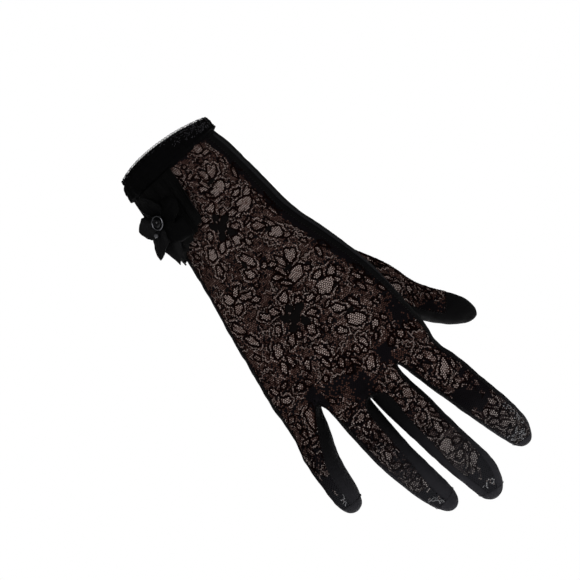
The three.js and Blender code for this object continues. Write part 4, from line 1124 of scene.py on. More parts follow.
def netShade(places):
    gap, cell, _ = motifField(petals, places)
    away, who, along = motifField(large, places)
    fine, small, broad = speckle(places, 0.8), speckle(places, 1.7, 5.0), speckle(places, 6.0, 9.0)
    low = np.clip((corners[0][2] - places[:, 1]) / tones["fadeLong"], 0, 1)
    tone = tones["ground"] - tones["fingerDrop"] * low + tones["small"] * small
    tone += mix(tones["broad"], tones["fingerBroad"], low) * broad
    centre = lace["band"] + lace["bandWave"] * zigzag(along, large[who, 7])
    strength = np.clip(0.9 + 1.2 * speckle(places, 5.0, 2.0), 0.2, 1.0)
    tone += tones["band"] * strength * np.exp(-(((away - centre) / lace["bandHalf"]) ** 2))
    tone -= tones["beside"] * np.exp(-(((away - centre - tones["besideAt"]) / tones["besideHalf"]) ** 2))
    tone[np.abs(gap - tones["rimAt"]) < tones["rimHalf"]] = tones["rim"]
    inside = gap < tones["rimAt"] - tones["rimHalf"]
    tone[inside] = (petalTones[cell] + tones["petalFine"] * fine + tones["petalBroad"] * broad)[inside]
    # Painted shade: the net gets darker towards the sides of the hand, where it turns from the light.
    sideShade = np.clip((np.abs(places[:, 0]) - tones["sideShadeFrom"]) / tones["sideShadeWide"], 0, 1)
    tone *= mix(1.0, tones["side"], sideShade)
    # Painted sheen: the net gets lighter towards the fingertips.
    tone += tones["tip"] * np.clip((tones["tipFrom"] - places[:, 1]) / tones["tipLong"], 0, 1)
    # Painted shadow and the dark margin darken the net here.
    dark = shadowAt(places)
    tone *= 1 - tones["shadow"] * dark
    tone += tones["chance"] * (1 - tones["calm"] * dark) * dice.standard_normal(len(places))
    shade = np.abs(tone[:, None] - np.array(net["shades"])).argmin(1)
    pale, darkest, bright = (netSlots.index(slot) for slot in ("netPale", "netDark", "netBright"))
    shade[isPlain(places) & ~inside] = darkest
    # Painted glints near the tips.
    glint = (motifField(glints, places)[0] < 0) & (fine > tones["glintFrom"])
    sparkle = np.where(places[:, 0] > tones["sparkleX"], *tones["sparkle"])
    chance = dice.random(len(places))
    glintYarn = np.where(chance < sparkle, bright, np.where(chance > tones["dimGlint"], darkest, pale))
    shade[glint] = glintYarn[glint]
    return shade


# The net: threads between the junctions of a honeycomb, three to each. Half the junctions are dots of yarn,
# and the others are small knots.
def netPiece(name, finder, zTop, zBottom, xFrom, xTo):
    pitch = net["pitch"]
    down = pitch * math.sqrt(3) / 2
    firstRow, lastRow = math.floor(zBottom / down) - 1, math.ceil(zTop / down) + 1
    firstColumn = math.floor(xFrom / pitch) - 1
    wide = math.ceil((xTo - xFrom) / pitch) + 3
    j, i = np.meshgrid(np.arange(firstRow, lastRow), np.arange(wide), indexing="ij")
    x = (firstColumn + i) * pitch + (j % 2) * pitch / 2
    z = j * down
    site = np.stack([x, z], axis=-1)
    both = np.stack([site, site + [0, pitch / math.sqrt(3)]], axis=2).reshape(-1, 2)
    index = np.arange(len(both)).reshape(*site.shape[:2], 2)
    wobble = np.stack([np.sin(both[:, 1] * 2.3 + both[:, 0]), np.sin(both[:, 0] * 1.9)], 1)
    both = both + net["wobble"] * pitch * wobble
    inside = (both[:, 1] <= zTop) & (both[:, 1] > zBottom) & (both[:, 0] >= xFrom) & (both[:, 0] < xTo)
    triangles = np.full(len(both), -1)
    triangles[inside] = findTriangles(finder, both[inside])
    good = triangles >= 0
    good[good] = motifField(solids, both[good])[0] > -net["inSolid"]
    shade = np.ones(len(both), int)
    shade[good] = netShade(both[good])
    # threads: up from each first junction, and to the left and right below it
    links = [(index[:, :, 0].ravel(), index[:, :, 1].ravel(), 0)]
    for line in range(1, site.shape[0]):
        shift = 0 if (firstRow + line) % 2 == 0 else 1
        below = index[line - 1, :, 1]
        keep = slice(1, -1)
        links.append((index[line, keep, 0], np.roll(below, 1 - shift)[keep], 1))
        links.append((index[line, keep, 0], np.roll(below, -shift)[keep], 2))
    threads = np.concatenate([np.stack([a, b, np.full(len(a), way)], 1) for a, b, way in links])
    threads = threads[good[threads[:, 0]] & good[threads[:, 1]]]
    used = np.unique(threads[:, :2])
    dots, knots = used[used % 2 == 0], used[used % 2 == 1]
    start = np.full(len(both), -1)
    start[dots] = np.arange(len(dots)) * 6
    start[knots] = len(dots) * 6 + np.arange(len(knots)) * 3
    sink = np.array(net["sink"])[shade]

    def rings(junctions, radius, ways):
        turn = np.radians(ways)
        reach = np.reshape(radius, (-1, 1, 1)) * np.stack([np.cos(turn), np.sin(turn)], 1)
        spots = (both[junctions][:, None] + reach).reshape(-1, 2)
        lift = -np.repeat(sink[junctions], len(ways))
        return onCloth(finder, np.repeat(triangles[junctions], len(ways)), spots, lift)

    dotPoints = rings(dots, np.array(net["dot"])[shade[dots]], [60, 120, 180, 240, 300, 0])
    knotRadius = net["threadHalf"] / math.cos(math.pi / 6)
    knotPoints = rings(knots, np.full(len(knots), knotRadius), [210, 330, 90])
    a, b, way = start[threads[:, 0]], start[threads[:, 1]], threads[:, 2]
    far, near = np.array([1, 2, 0])[way], np.array([0, 1, 2])[way]
    strips = np.stack([a + 2 * way, b + far, b + near, a + 2 * way + 1], 1)
    dotFaces = start[dots][:, None] + np.arange(6)
    knotFaces = start[knots][:, None] + np.arange(3)
    threadYarn = np.array(net["threadYarn"])
    slots = np.concatenate([shade[dots], threadYarn[shade[knots]], threadYarn[shade[threads[:, 0]]]])
    faces = [*dotFaces.tolist(), *knotFaces.tolist(), *strips.tolist()]
    return addPiece(name, np.concatenate([dotPoints, knotPoints]), faces, netSlots, faceSlots=slots)


# Cords are laid on the cloth along paths of the chart. Widths and heights are in millimetres.
cord = {
    "step": 0.45, "foot": -0.2, "wide": 0.8, "high": 0.36, "onFingers": 0.62, "crescent": 0.9, "least": 0.25,
    "fromRim": 0.12, "beside": 0.5, "besideAt": 0.78, "besideHigh": 0.26, "vein": (0.55, 0.2), "veinSteps": 6,
    "low": 0.22, "curl": (0.3, 0.5), "curlStep": 0.5, "curlEvery": 24, "wanderEvery": 42,
    "glint": (0.25, 0.5), "glintHigh": 0.3, "grainWide": 0.75, "grainLong": 0.6, "grainHigh": 0.24,
    "grainFoot": -0.15, "grainGap": 0.1,
}


# Parts collect points and faces, and become a piece with a slot for each kind of parts.
def newParts():
    return {"points": [], "faces": [], "count": 0}


def addPart(parts, partPoints, partFaces):
    parts["points"].append(np.asarray(partPoints, float))
    parts["faces"] += [[v + parts["count"] for v in face] for face in partFaces]
    parts["count"] += len(partPoints)


def joinParts(name, kinds, slots):
    places, faces, faceSlots, count = [], [], [], 0
    for k, kind in enumerate(kinds):
        places += kind["points"]
        faces += [[v + count for v in face] for face in kind["faces"]]
        faceSlots += [k] * len(kind["faces"])
        count += kind["count"]
    return addPiece(name, np.concatenate(places), faces, slots, faceSlots=faceSlots)


# Faces of a tube with rows of points round it, from its start to its end, and capped unless it is closed.
def tubeFaces(rowCount, sides, closed=False):
    faces = []
    for k in range(rowCount if closed else rowCount - 1):
        n = (k + 1) % rowCount
        for m in range(sides):
            o = (m + 1) % sides
            faces.append((k * sides + m, k * sides + o, n * sides + o, n * sides + m))
    if not closed:
        faces.append(tuple(range(sides))[::-1])
        faces.append(tuple(range((rowCount - 1) * sides, rowCount * sides)))
    return faces


# The stretches of a path that are shown, as lists of places in it.
def shownRuns(shown, closed):
    count = len(shown)
    if shown.all():
        return [(list(range(count)), closed)]
    first = int(np.argmin(shown)) if closed else 0
    runs = [[]]
    for k in range(count):
        spot = (first + k) % count
        if shown[spot]:
            runs[-1].append(spot)
        elif runs[-1]:
            runs.append([])
    return [(run, False) for run in runs if len(run) > 2]


# A cord with three sides, which lies along the path where it is shown.
def layCord(parts, finder, path, width, height, closed, shown=None):
    path = np.asarray(path)
    run = waysAlong(path, closed)
    side = np.stack([-run[:, 1], run[:, 0]], 1)
    triangles = findTriangles(finder, path)
    good = triangles >= 0
    if shown is not None:
        good &= shown
    if good.sum() < 3:
        return
    half = np.reshape(width, (-1, 1)) / 2 * np.ones((len(path), 1))
    safe = np.where(good, triangles, triangles[good][0])
    left = onCloth(finder, safe, path + side * half, cord["foot"])
    top = onCloth(finder, safe, path, height)
    right = onCloth(finder, safe, path - side * half, cord["foot"])
    rings = np.stack([left, top, right], 1)
    for spots, isClosed in shownRuns(good, closed):
        addPart(parts, rings[spots].reshape(-1, 3), tubeFaces(len(spots), 3, isClosed))


# Short stitches along a path: low grains of thread, of several kinds, with gaps.
def layGrains(kinds, finder, path, shown, rng):
    path = np.asarray(path)
    run = waysAlong(path, True)
    side = np.stack([-run[:, 1], run[:, 0]], 1)
    triangles = findTriangles(finder, path)
    chance = np.array([rng.random() for _ in path])
    good = shown & (triangles >= 0) & (chance > cord["grainGap"])
    share = (chance - cord["grainGap"]) / (1 - cord["grainGap"])
    which = (share * len(kinds)).astype(int)
    for k, parts in enumerate(kinds):
        own = good & (which == k)
        if not own.any():
            continue
        spots, ways, sides, found = path[own], run[own], side[own], triangles[own]
        ahead = ways * (cord["grainLong"] / 2 * (0.8 + 0.4 * chance[own, None]))
        aside = sides * cord["grainWide"] / 2
        rim = np.stack([spots - ahead, spots - aside, spots + ahead, spots + aside], 1)
        low = onCloth(finder, np.repeat(found, 4), rim.reshape(-1, 2), cord["grainFoot"]).reshape(-1, 4, 3)
        top = onCloth(finder, found, spots, cord["grainHigh"])
        grain = [(0, 1, 4), (1, 2, 4), (2, 3, 4), (3, 0, 4), (3, 2, 1, 0)]
        faces = [[n * 5 + v for v in face] for n in range(len(spots)) for face in grain]
        addPart(parts, np.concatenate([low, top[:, None]], 1).reshape(-1, 3), faces)


# A motif worked solid: a low dome, from rings of (share of the outline, height).
dome = {"rings": ((1.0, -0.2), (0.94, 0.16), (0.6, 0.3)), "top": 0.34, "under": -0.25, "sides": 20}


def fillMotif(parts, finder, motif):
    count = dome["sides"]
    middle = findTriangles(finder, motif[None, :2])
    rings = []
    for share, height in dome["rings"]:
        rim = motif[:2] + (motifRim(motif, 0, count) - motif[:2]) * share
        found = findTriangles(finder, rim)
        if (found < 0).any() or middle[0] < 0:
            return
        rings.append(onCloth(finder, found, rim, height))
    top = onCloth(finder, middle, motif[None, :2], dome["top"])
    under = onCloth(finder, middle, motif[None, :2], dome["under"])
    faces = tubeFaces(len(rings), count)[:-2]
    for k in range(count):
        n = (k + 1) % count
        faces += [(2 * count + k, 2 * count + n, 3 * count), (n, k, 3 * count + 1)]
    addPart(parts, np.concatenate([*rings, top, under]), faces)


def inRange(motif, box):
    zTop, zBottom, xFrom, xTo = box
    return zBottom < motif[1] <= zTop and xFrom <= motif[0] < xTo


# A short curling path on the chart.
def curl(rng, x, z, steps):
    heading, bend, path, startX = rng.uniform(0, math.tau), rng.uniform(-0.5, 0.5), [(x, z)], x
    for k in range(steps):
        heading += bend + 0.7 * math.sin(k * 1.3 + startX)
        x, z = path[-1]
        path.append((x + cord["curlStep"] * math.cos(heading), z + cord["curlStep"] * math.sin(heading)))
    return path


# A pale zigzag with a dark one beside it, which wanders over the ground between the motifs.
def wander(rng, finder, box, grains, dark):
    zTop, zBottom, xFrom, xTo = box
    here = np.array([rng.uniform(xFrom, xTo), rng.uniform(zBottom, zTop)])
    heading, bend = rng.uniform(0, math.tau), rng.uniform(-0.1, 0.1)
    spine, sides = [], []
    for _ in range(rng.randrange(14, 34)):
        heading += bend + rng.gauss(0, 0.12)
        spine.append(here)
        sides.append((-math.sin(heading), math.cos(heading)))
        here = here + cord["step"] * np.array([math.cos(heading), math.sin(heading)])
    spine, sides = np.array(spine), np.array(sides)
    length = np.arange(len(spine)) * cord["step"]
    path = spine + sides * (lace["bandWave"] * zigzag(length, rng.random()))[:, None]
    fromPetals = (motifField(large, path)[0] > lace["band"] + 1.3) & (motifField(petals, path)[0] > 0.9)
    shown = isOpen(path) & fromPetals
    if shown.sum() < 4:
        return
    layGrains(grains, finder, path, shown, rng)
    layCord(dark, finder, path + sides * cord["grainWide"], cord["beside"], cord["grainHigh"], False, shown)


# How wide the cord round a petal is at each place.
def cordWidths(motif, path):
    theta = np.linspace(0, math.tau, len(path), endpoint=False)
    thick = 0.9 + 0.4 * speckle(path, 2.6, 4.0) + 0.3 * np.sin(2 * theta + 1.9 * motif[7]) ** 3
    thick *= cord["wide"] * (0.85 + 0.3 * (np.arange(len(path)) % 2))
    thick *= cord["onFingers"] if motif[1] < corners[0][2] else 1.0
    thick += cord["crescent"] * motif[5] * np.maximum(np.cos(theta), 0) ** 2
    return np.maximum(thick, cord["least"])


# The pale band that runs beside a petal in a zigzag, with a dark cord along it.
def layBand(parts, grains, finder, motif, path, others, rng):
    count = len(path)
    length = np.linalg.norm(path - np.roll(path, 1, 0), axis=1).cumsum()
    centre = lace["band"] + lace["bandWave"] * zigzag(length, motif[7])
    for shift in (0.0, cord["besideAt"]):
        outer = motifRim(motif, centre + shift, count)
        shown = isOpen(outer) & (speckle(outer, 5.0, 2.0) > -0.25)
        if len(others):
            shown &= motifField(others, outer)[0] > 0.8
        if shift:
            wide = cord["beside"] * (0.65 + 0.7 * (np.arange(count) % 2))
            layCord(parts, finder, outer, wide, cord["besideHigh"], True, shown)
        else:
            layGrains(grains, finder, outer, shown, rng)


# Veins run from the petal's cusps towards its middle.
def layVeins(parts, finder, motif, path, rng):
    steps = cord["veinSteps"]
    for cusp in (-1, 1) if motif[7] % 2 else (0, -2, 2):
        turn = math.pi + cusp * math.tau / lace["scallops"] / 2
        rimSpot = path[int(round(turn / math.tau * len(path))) % len(path)]
        inner = mix(motif[:2], path[0], 0.15)
        vein = rimSpot + (inner - rimSpot) * np.linspace(-0.05, rng.uniform(0.3, 0.5), steps)[:, None]
        layCord(parts, finder, vein, np.linspace(*cord["vein"], steps), cord["low"], False, isOpen(vein))


# A petal's cord stops where an earlier petal lies over it.
def layPetal(parts, grains, finder, motif, rng):
    near = (np.abs(petals[:, :2] - motif[:2]) < 13).all(1)
    first, others = petals[near & (petals[:, 7] < motif[7])], petals[near & (petals[:, 7] != motif[7])]
    count = max(16, int(math.tau * (motif[2] + motif[3]) / 2 / cord["step"]))
    path = motifRim(motif, cord["fromRim"], count)
    shown = ~isPlain(path)
    if len(first):
        shown &= motifField(first, path)[0] > -0.3
    layCord(parts, finder, path, cordWidths(motif, path), cord["high"], True, shown)
    if banded[int(motif[7])]:
        layBand(parts, grains, finder, motif, path, others, rng)
    if motif[3] > 1.5:
        layVeins(parts, finder, motif, path, rng)


# Painted glints: bright curls of yarn in the narrow glint patches.
def layGlint(bright, finder, motif, rng):
    for _ in range(int(2 + motif[2] * motif[3])):
        x, z = motif[0] + rng.uniform(-1, 1) * motif[3], motif[1] + rng.uniform(-0.7, 0.7) * motif[2]
        path = curl(rng, x, z, rng.randrange(3, 7))
        layCord(bright, finder, path, rng.uniform(*cord["glint"]), cord["glintHigh"], False)


cordSlots = ["cord", "netClear", "netPale", "roll", "netBright"]


def cordPiece(name, finder, box):
    kinds = [newParts() for _ in cordSlots]
    parts, *grains, solid, bright = kinds
    rng = random.Random(lace["seed"])
    for motif in petals:
        if inRange(motif, box):
            layPetal(parts, grains, finder, motif, rng)
    for motif in solids:
        if inRange(motif, box) and not isPlain(motif[None, :2])[0]:
            fillMotif(solid, finder, motif)
    zTop, zBottom, xFrom, xTo = box
    area = (zTop - zBottom) * (xTo - xFrom)
    tries = int(area / cord["curlEvery"])
    starts = np.array([(rng.uniform(xFrom, xTo), rng.uniform(zBottom, zTop)) for _ in range(tries)])
    gap = motifField(petals, starts)[0]
    for x, z in starts[(gap > 1.0) & isOpen(starts)].tolist():
        path = curl(rng, x, z, rng.randrange(5, 12))
        layCord(parts, finder, path, rng.uniform(*cord["curl"]), cord["low"], False)
    for _ in range(int(area / cord["wanderEvery"])):
        wander(rng, finder, box, grains, parts)
    for motif in glints:
        if inRange(motif, box) and motif[3] < 1.3:
            layGlint(bright, finder, motif, rng)
    return joinParts(name, kinds, cordSlots)


backCut, thumbCut = cutPanel("back_panel"), cutPanel("thumb_back")
backFinder, thumbFinder = chartFinder(backCut), chartFinder(thumbCut)
# top and bottom height on the chart, and its two sides
laceBoxes = {
    "lace_wrist": (backFinder, (-6.5, -60, -48, 42)),
    "lace_hand": (backFinder, (-60, -104, -48, 42)),
    "lace_knuckles": (backFinder, (-104, -150, -48, 42)),
    "lace_fingers": (backFinder, (-150, -232, -60, 42)),
    "lace_thumb": (thumbFinder, (-85, -155, -5, 40)),
}
laceNets, laceCords = [], []
for name, (finder, box) in laceBoxes.items():
    laceNets.append(netPiece(name + "_net", finder, *box))
    laceCords.append(cordPiece(name + "_cords", finder, box))
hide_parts("back_panel")
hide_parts("thumb_back")
print("lace made")

# The jersey panels, with creases where the hand bends.
jersey = {
    "thickness": 0.7, "fold": 0.35, "fingerFold": 0.25, "sharp": 1.6, "wander": 1.4, "wanderTurn": 0.16,
    "swell": 0.55, "swellAt": 3.2, "swellHalf": 1.9, "sunk": 0.1, "palmFrom": 8,
}
# Creases: how high, how close together across the hand and along it, and a shift along it
creaseTable = [(0.6, 0.06, 0.05, 5), (0.9, 0.05, 0.22, 0), (0.3, 0.16, 0.5, 0)]
# Folds of the palm side: x, z, half length, way, depth
foldTable = [
    (-4, -17, 20, -4, 0.55), (3, -26, 17, 6, 0.5), (-6, -37, 15, -8, 0.45), (6, -48, 13, 14, 0.4),
    (10, -84, 17, 112, 0.6), (3, -98, 20, 118, 0.55), (-8, -119, 24, 12, 0.6), (-4, -131, 25, 4, 0.5),
    (-20, -76, 16, 70, 0.4), (21.5, -160, 8, 4, 0.5), (26, -181, 8, 6, 0.5), (29.5, -201, 7.5, 8, 0.4),
    (0.6, -162, 8.5, 0, 0.5), (2, -184, 8.5, 2, 0.5), (3.6, -206, 8, 4, 0.4), (-19.4, -161, 8, -2, 0.5),
    (-19.8, -180, 8, 0, 0.5), (-18.2, -200, 7.5, 4, 0.4), (-43.5, -152, 7.5, -10, 0.5),
    (-48, -169, 7, -6, 0.4),
]


# How far a place of the palm is moved in by the folds, with a low swell beside each.
def foldAt(x, z):
    total = 0.0
    for foldX, foldZ, long, way, depth in foldTable:
        dx, dz = x - foldX, z - foldZ
        if dx * dx + dz * dz > (long + 8) ** 2:
            continue
        c, s = math.cos(math.radians(way)), math.sin(math.radians(way))
        along, across = dx * c + dz * s, dz * c - dx * s
        across += jersey["wander"] * math.sin(along * jersey["wanderTurn"] + foldZ)
        ends = math.exp(-((along / long) ** 4))
        swell = math.exp(-((abs(across) - jersey["swellAt"]) / jersey["swellHalf"]) ** 2)
        total += depth * ends * (jersey["swell"] * swell - math.exp(-((across / jersey["sharp"]) ** 2)))
    return total


# How far each point of a panel is moved out by its creases and folds.
def creases(cut, depth):
    lift = []
    for x, y, z in surfacePoints[cut["ids"]].tolist():
        total = 0.0
        for high, close, closeZ, shift in creaseTable:
            total += high * noise.noise((x * close, y * close, z * closeZ + shift))
        folds = foldAt(x, z) if y > jersey["palmFrom"] else 0.0
        lift.append(depth * total + folds - jersey["sunk"])
    return np.array(lift)


jerseyPieces = {}
for panel in ("palm_panel", *fourchettes, "thumb_front"):
    cut = cutPanel(panel)
    depth = jersey["fingerFold"] if panel in fourchettes else jersey["fold"]
    name = panel.replace("panel", "jersey") + "_cloth"
    jerseyPieces[panel] = clothPiece(name, cut, ["jersey"], jersey["thickness"], creases(cut, depth))
    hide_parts(panel)
print("jersey made")


# Seams: a narrow roll where two panels meet, with a row of stitches across it.
seam = {
    "radius": 0.42, "atTips": 0.12, "tipRange": (-175, -205), "sides": 6, "sink": 0.12, "flat": 0.7,
    "stitchEvery": 1.5, "stitchLong": 0.7, "stitchRadius": 0.1,
}


# Runs of surface points where two panels meet, and whether each closes on itself.
def seamRuns():
    edges = np.sort(np.concatenate([quads[:, [k, (k + 1) % 4]] for k in range(4)]), axis=1)
    owner = np.tile(panelIndex, 4)
    order = np.lexsort((edges[:, 1], edges[:, 0]))
    edges, owner = edges[order], owner[order]
    same = (edges[1:] == edges[:-1]).all(1) & (owner[1:] != owner[:-1])
    spots = np.flatnonzero(same)
    groups = {}
    for k in spots.tolist():
        pair = tuple(sorted((int(owner[k]), int(owner[k + 1]))))
        groups.setdefault(pair, []).append(edges[k].tolist())
    runs = []
    for edgeList in groups.values():
        near = {}
        for a, b in edgeList:
            near.setdefault(a, []).append(b)
            near.setdefault(b, []).append(a)
        seen = set()
        ends = [v for v in near if len(near[v]) != 2] or list(near)[:1]
        for start in [*ends, *near]:
            if start in seen:
                continue
            run, here = [start], start
            seen.add(start)
            while True:
                onward = [v for v in near[here] if v not in seen]
                if not onward:
                    break
                here = onward[0]
                seen.add(here)
                run.append(here)
            if len(run) > 3:
                closes = run[0] in near[run[-1]] and len(run) > 8
                runs.append((run, closes))
    return runs


# A round or flattened strand along a path in space. Normals are those of the cloth below it.
def sweep(parts, path, normals, radius, sides, closed=False, flatten=1.0):
    path, normals = np.asarray(path, float), np.asarray(normals, float)
    radius = np.reshape(radius, (-1, 1)) * np.ones((len(path), 1))
    run = waysAlong(path, closed)
    side = unit(np.cross(normals, run))
    out = np.cross(run, side)
    rings = []
    for k in range(sides):
        a = math.tau * k / sides
        rings.append(path + side * radius * math.cos(a) + out * radius * flatten * math.sin(a))
    addPart(parts, np.stack(rings, 1).reshape(-1, 3), tubeFaces(len(path), sides, closed))


rolls, stitches = newParts(), newParts()
for run, closes in seamRuns():
    path, normals = surfacePoints[run], surfaceNormals[run]
    line = path - normals * seam["sink"]
    for _ in range(4):
        line[1:-1] = (line[:-2] + 2 * line[1:-1] + line[2:]) / 4
    high, low = seam["tipRange"]
    thin = np.clip((line[:, 2] - high) / (low - high), 0, 1)
    size = mix(seam["radius"], seam["atTips"], thin) * (1 + 0.12 * np.sin(np.arange(len(run)) * 0.9))
    sweep(rolls, line, normals, size, seam["sides"], closes, seam["flat"])
    length = np.concatenate([[0], np.cumsum(np.linalg.norm(np.diff(line, axis=0), axis=1))])
    for at in np.arange(seam["stitchEvery"], length[-1], seam["stitchEvery"]):
        k = int(np.searchsorted(length, at)) - 1
        t = (at - length[k]) / (length[k + 1] - length[k])
        middle, out = mix(line[k], line[k + 1], t), normals[k]
        ahead = (line[k + 1] - line[k]) / (length[k + 1] - length[k])
        across = np.cross(out, ahead)
        lean = across * 0.8 + ahead * 0.6
        arc = []
        for s in (-1, -0.4, 0.4, 1):
            rise = seam["radius"] * seam["flat"] * (1.25 - 0.75 * s * s)
            arc.append(middle + lean * s * seam["stitchLong"] / 2 + out * rise)
        sweep(stitches, arc, [out] * 4, seam["stitchRadius"], 4)
seamPiece = joinParts("seam_rolls", [rolls], ["roll"])
stitchPiece = joinParts("seam_stitches", [stitches], ["stitch"])
print("seams made", len(rolls["faces"]), len(stitches["faces"]))

# The band along the thumb side has a welt of two lines.
welt = {
    "angles": (-13.0, -16.5), "top": -11.0, "bottom": -128.0, "radius": 0.42, "flat": 0.6, "raised": 0.05,
    "steps": 120, "taper": 26,
}
fromTop = np.arange(welt["steps"] + 1)
weltSizes = welt["radius"] * np.clip((welt["steps"] - fromTop) / welt["taper"], 0.1, 1) ** 0.6
weltParts = newParts()
for spread in welt["angles"]:
    path, normals = [], []
    for k in range(welt["steps"] + 1):
        z = mix(welt["top"], welt["bottom"], k / welt["steps"])
        degrees = between(handTable, z)[7] + spread
        here, out = handPoint(z, degrees), handPoint(z, degrees, 1.0)
        path.append(here[:])
        normals.append((out - here).normalized()[:])
    path, normals = np.array(path), np.array(normals)
    sweep(weltParts, path + normals * welt["raised"], normals, weltSizes, seam["sides"], False, welt["flat"])
weltPiece = joinParts("side_welt", [weltParts], ["stitch"])

# The cuff: a gathered band, shirred on elastic.
cuff = {
    "top": 2.0, "crest": -12.0, "droopThumb": 0.005, "droopLittle": 0.01, "bottom": -9.6, "gathers": 26,
    "depth": 0.9, "sharp": 1.3, "waist": 0.6, "puff": 3.2, "rise": 0.55, "spread": 0.6, "shirring": 4,
    "shirrDepth": 0.22, "wrinkle": 0.35, "crumple": 0.4, "seatGap": 0.3, "tuckFrom": 0.78, "inner": 0.2,
    "steps": 364, "rows": 20, "chartStep": 0.4, "chartRow": 0.6,
}


def cuffTop(x):
    away = x - cuff["crest"]
    return cuff["top"] - (cuff["droopThumb"] if away > 0 else cuff["droopLittle"]) * away * away


# How far a place lies towards the little finger's side, from 0 to 1.
def littleShare(degrees):
    return max(0.0, -math.cos(math.radians(degrees))) ** cuff["spread"]


# A place of the cuff. Drop goes from 0 at its top to 1 where it is tucked in, and grow is 1 on the outside.
def cuffPlace(degrees, drop, grow):
    u = degrees / 360
    c, s = math.cos(u * math.tau), math.sin(u * math.tau)
    wrinkle = noise.noise((c * 9, s * 9, drop * 3))
    crumple = noise.noise((c * 22, s * 22, drop * 5 + 4))
    gather = 0.5 - 0.5 * math.cos(math.tau * cuff["gathers"] * u + 1.2 * wrinkle)
    ripple = cuff["depth"] * gather ** cuff["sharp"] * mix(cuff["waist"], 1, abs(2 * drop - 1))
    shirr = cuff["shirrDepth"] * abs(math.sin(math.pi * cuff["shirring"] * drop + 0.5))
    uneven = cuff["wrinkle"] * wrinkle + cuff["crumple"] * crumple
    puff = cuff["puff"] * math.sin(math.pi / 2 * drop ** cuff["rise"]) * littleShare(degrees)
    out = cuff["seatGap"] + grow + ripple + puff + shirr + uneven * 0.7 * min(1, grow)
    tucked = (max(0.0, drop - cuff["tuckFrom"]) / (1 - cuff["tuckFrom"])) ** 2
    out = mix(out, 0.6 * grow - 0.3, tucked)
    p = handPoint(mix(form["wristZ"], cuff["bottom"], drop), degrees, out)
    p.z = mix(cuffTop(p.x), cuff["bottom"] - 0.5 * wrinkle, drop)
    return p


# A closed band from rows of places round the wrist, down the outside and up the inside.
def bandPiece(name, steps, rowsDown, at, slot):
    bandPoints, bandChart, faces, ringCount = [], [], [], rowsDown * 2
    for i in range(steps):
        for k in range(ringCount):
            outside = k < rowsDown
            drop = (k if outside else ringCount - 1 - k) / (rowsDown - 1)
            bandPoints.append(at(360 * i / steps, drop, 1.0 if outside else cuff["inner"])[:])
            here, beside, n = i * ringCount, (i + 1) % steps * ringCount, (k + 1) % ringCount
            faces.append((here + k, beside + k, beside + n, here + n))
            spots = ((i, k), (i + 1, k), (i + 1, k + 1), (i, k + 1))
            bandChart.append([(x * cuff["chartStep"], z * cuff["chartRow"]) for x, z in spots])
    return addPiece(name, bandPoints, faces, [slot], uv=bandChart)


cuffPiece = bandPiece("cuff_shirred_band", cuff["steps"], cuff["rows"], cuffPlace, "gathered")
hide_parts("cuff_band")

# The edging: a knitted band with picot loops. Slubs of paler yarn stand out of it and of the cuff, most of
# them on the back of the hand towards the thumb.
edging = {
    "picots": 104, "loopHigh": 0.9, "loopSteps": 7, "wire": 0.2, "band": 1.5, "wave": 0.15, "steps": 312,
    "rows": 5, "slubs": 310, "share": 0.66, "slubWire": 0.11, "slubTurn": 1.7, "slubLift": 0.14, "seed": 21,
}


def edgingPlace(degrees, drop, grow):
    p = cuffPlace(degrees, 0.0, grow - 0.1)
    wave = edging["wave"] * math.sin(math.tau * edging["picots"] * degrees / 360)
    p.z += mix(edging["band"] + wave, -0.6, drop)
    return p


def outOfWrist(degrees):
    return math.cos(math.radians(degrees)), -math.sin(math.radians(degrees)), 0


edgingPiece = bandPiece("cuff_edging_band", edging["steps"], edging["rows"], edgingPlace, "gathered")
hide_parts("cuff_edging")
picots, slubs = newParts(), newParts()
for n in range(edging["picots"]):
    path, normals = [], []
    for k in range(edging["loopSteps"] + 1):
        a = math.pi * k / edging["loopSteps"]
        degrees = 360 * (n + 0.5 - 0.5 * math.cos(a)) / edging["picots"]
        p = edgingPlace(degrees, 0.0, 0.6)
        p.z += edging["loopHigh"] * math.sin(a) ** 0.8 - 0.25
        path.append(p[:])
        normals.append(outOfWrist(degrees))
    sweep(picots, path, normals, edging["wire"], 5)
slubRng = random.Random(edging["seed"])
for _ in range(edging["slubs"]):
    degrees = slubRng.triangular(-20, 175, 50) if slubRng.random() < 0.75 else slubRng.uniform(0, 360)
    drop = slubRng.triangular(-0.1, 1.6, 0.1)
    turn, slope = edging["slubTurn"] * slubRng.uniform(0.5, 1), slubRng.uniform(-0.25, 0.25)
    placeOf = edgingPlace
    if slubRng.random() >= edging["share"]:
        placeOf, slope = cuffPlace, 0.3 * slope
        degrees, drop = slubRng.triangular(8, 85, 38), slubRng.uniform(0.05, 0.6)
    path, normals = [], []
    for s in (-0.5, 0, 0.5):
        away = outOfWrist(degrees)
        p = placeOf(degrees + turn * s, drop + slope * s, 1.0)
        path.append(np.array(p) + np.array(away) * edging["slubLift"] * (1 - 4 * s * s))
        normals.append(away)
    sweep(slubs, path, normals, edging["slubWire"], 4)
picotPiece = joinParts("cuff_picots", [picots, slubs], ["stitch", "slub"])
print("cuff made")

# The ruffle below the cuff, on the little finger's side.
# Place along it, angle at its upper end, angle at its hem, height of the hem
ruffleTable = [
    (0, 98, 106, -38), (0.25, 128, 130, -42.5), (0.6, 176, 176, -48),
    (0.8, 200, 202, -46), (1, 232, 226, -36),
]
ruffle = {
    "top": -9.0, "folds": 10, "depth": 1.1, "small": 0.35, "smallFolds": 2.7, "wrinkle": 0.5, "puff": 2.5,
    "least": 0.25, "from": 0.22, "to": 0.93, "fullness": 0.8, "across": 260, "down": 40, "thickness": 0.7,
    "seatGap": 0.3, "chart": (90, 38),
}


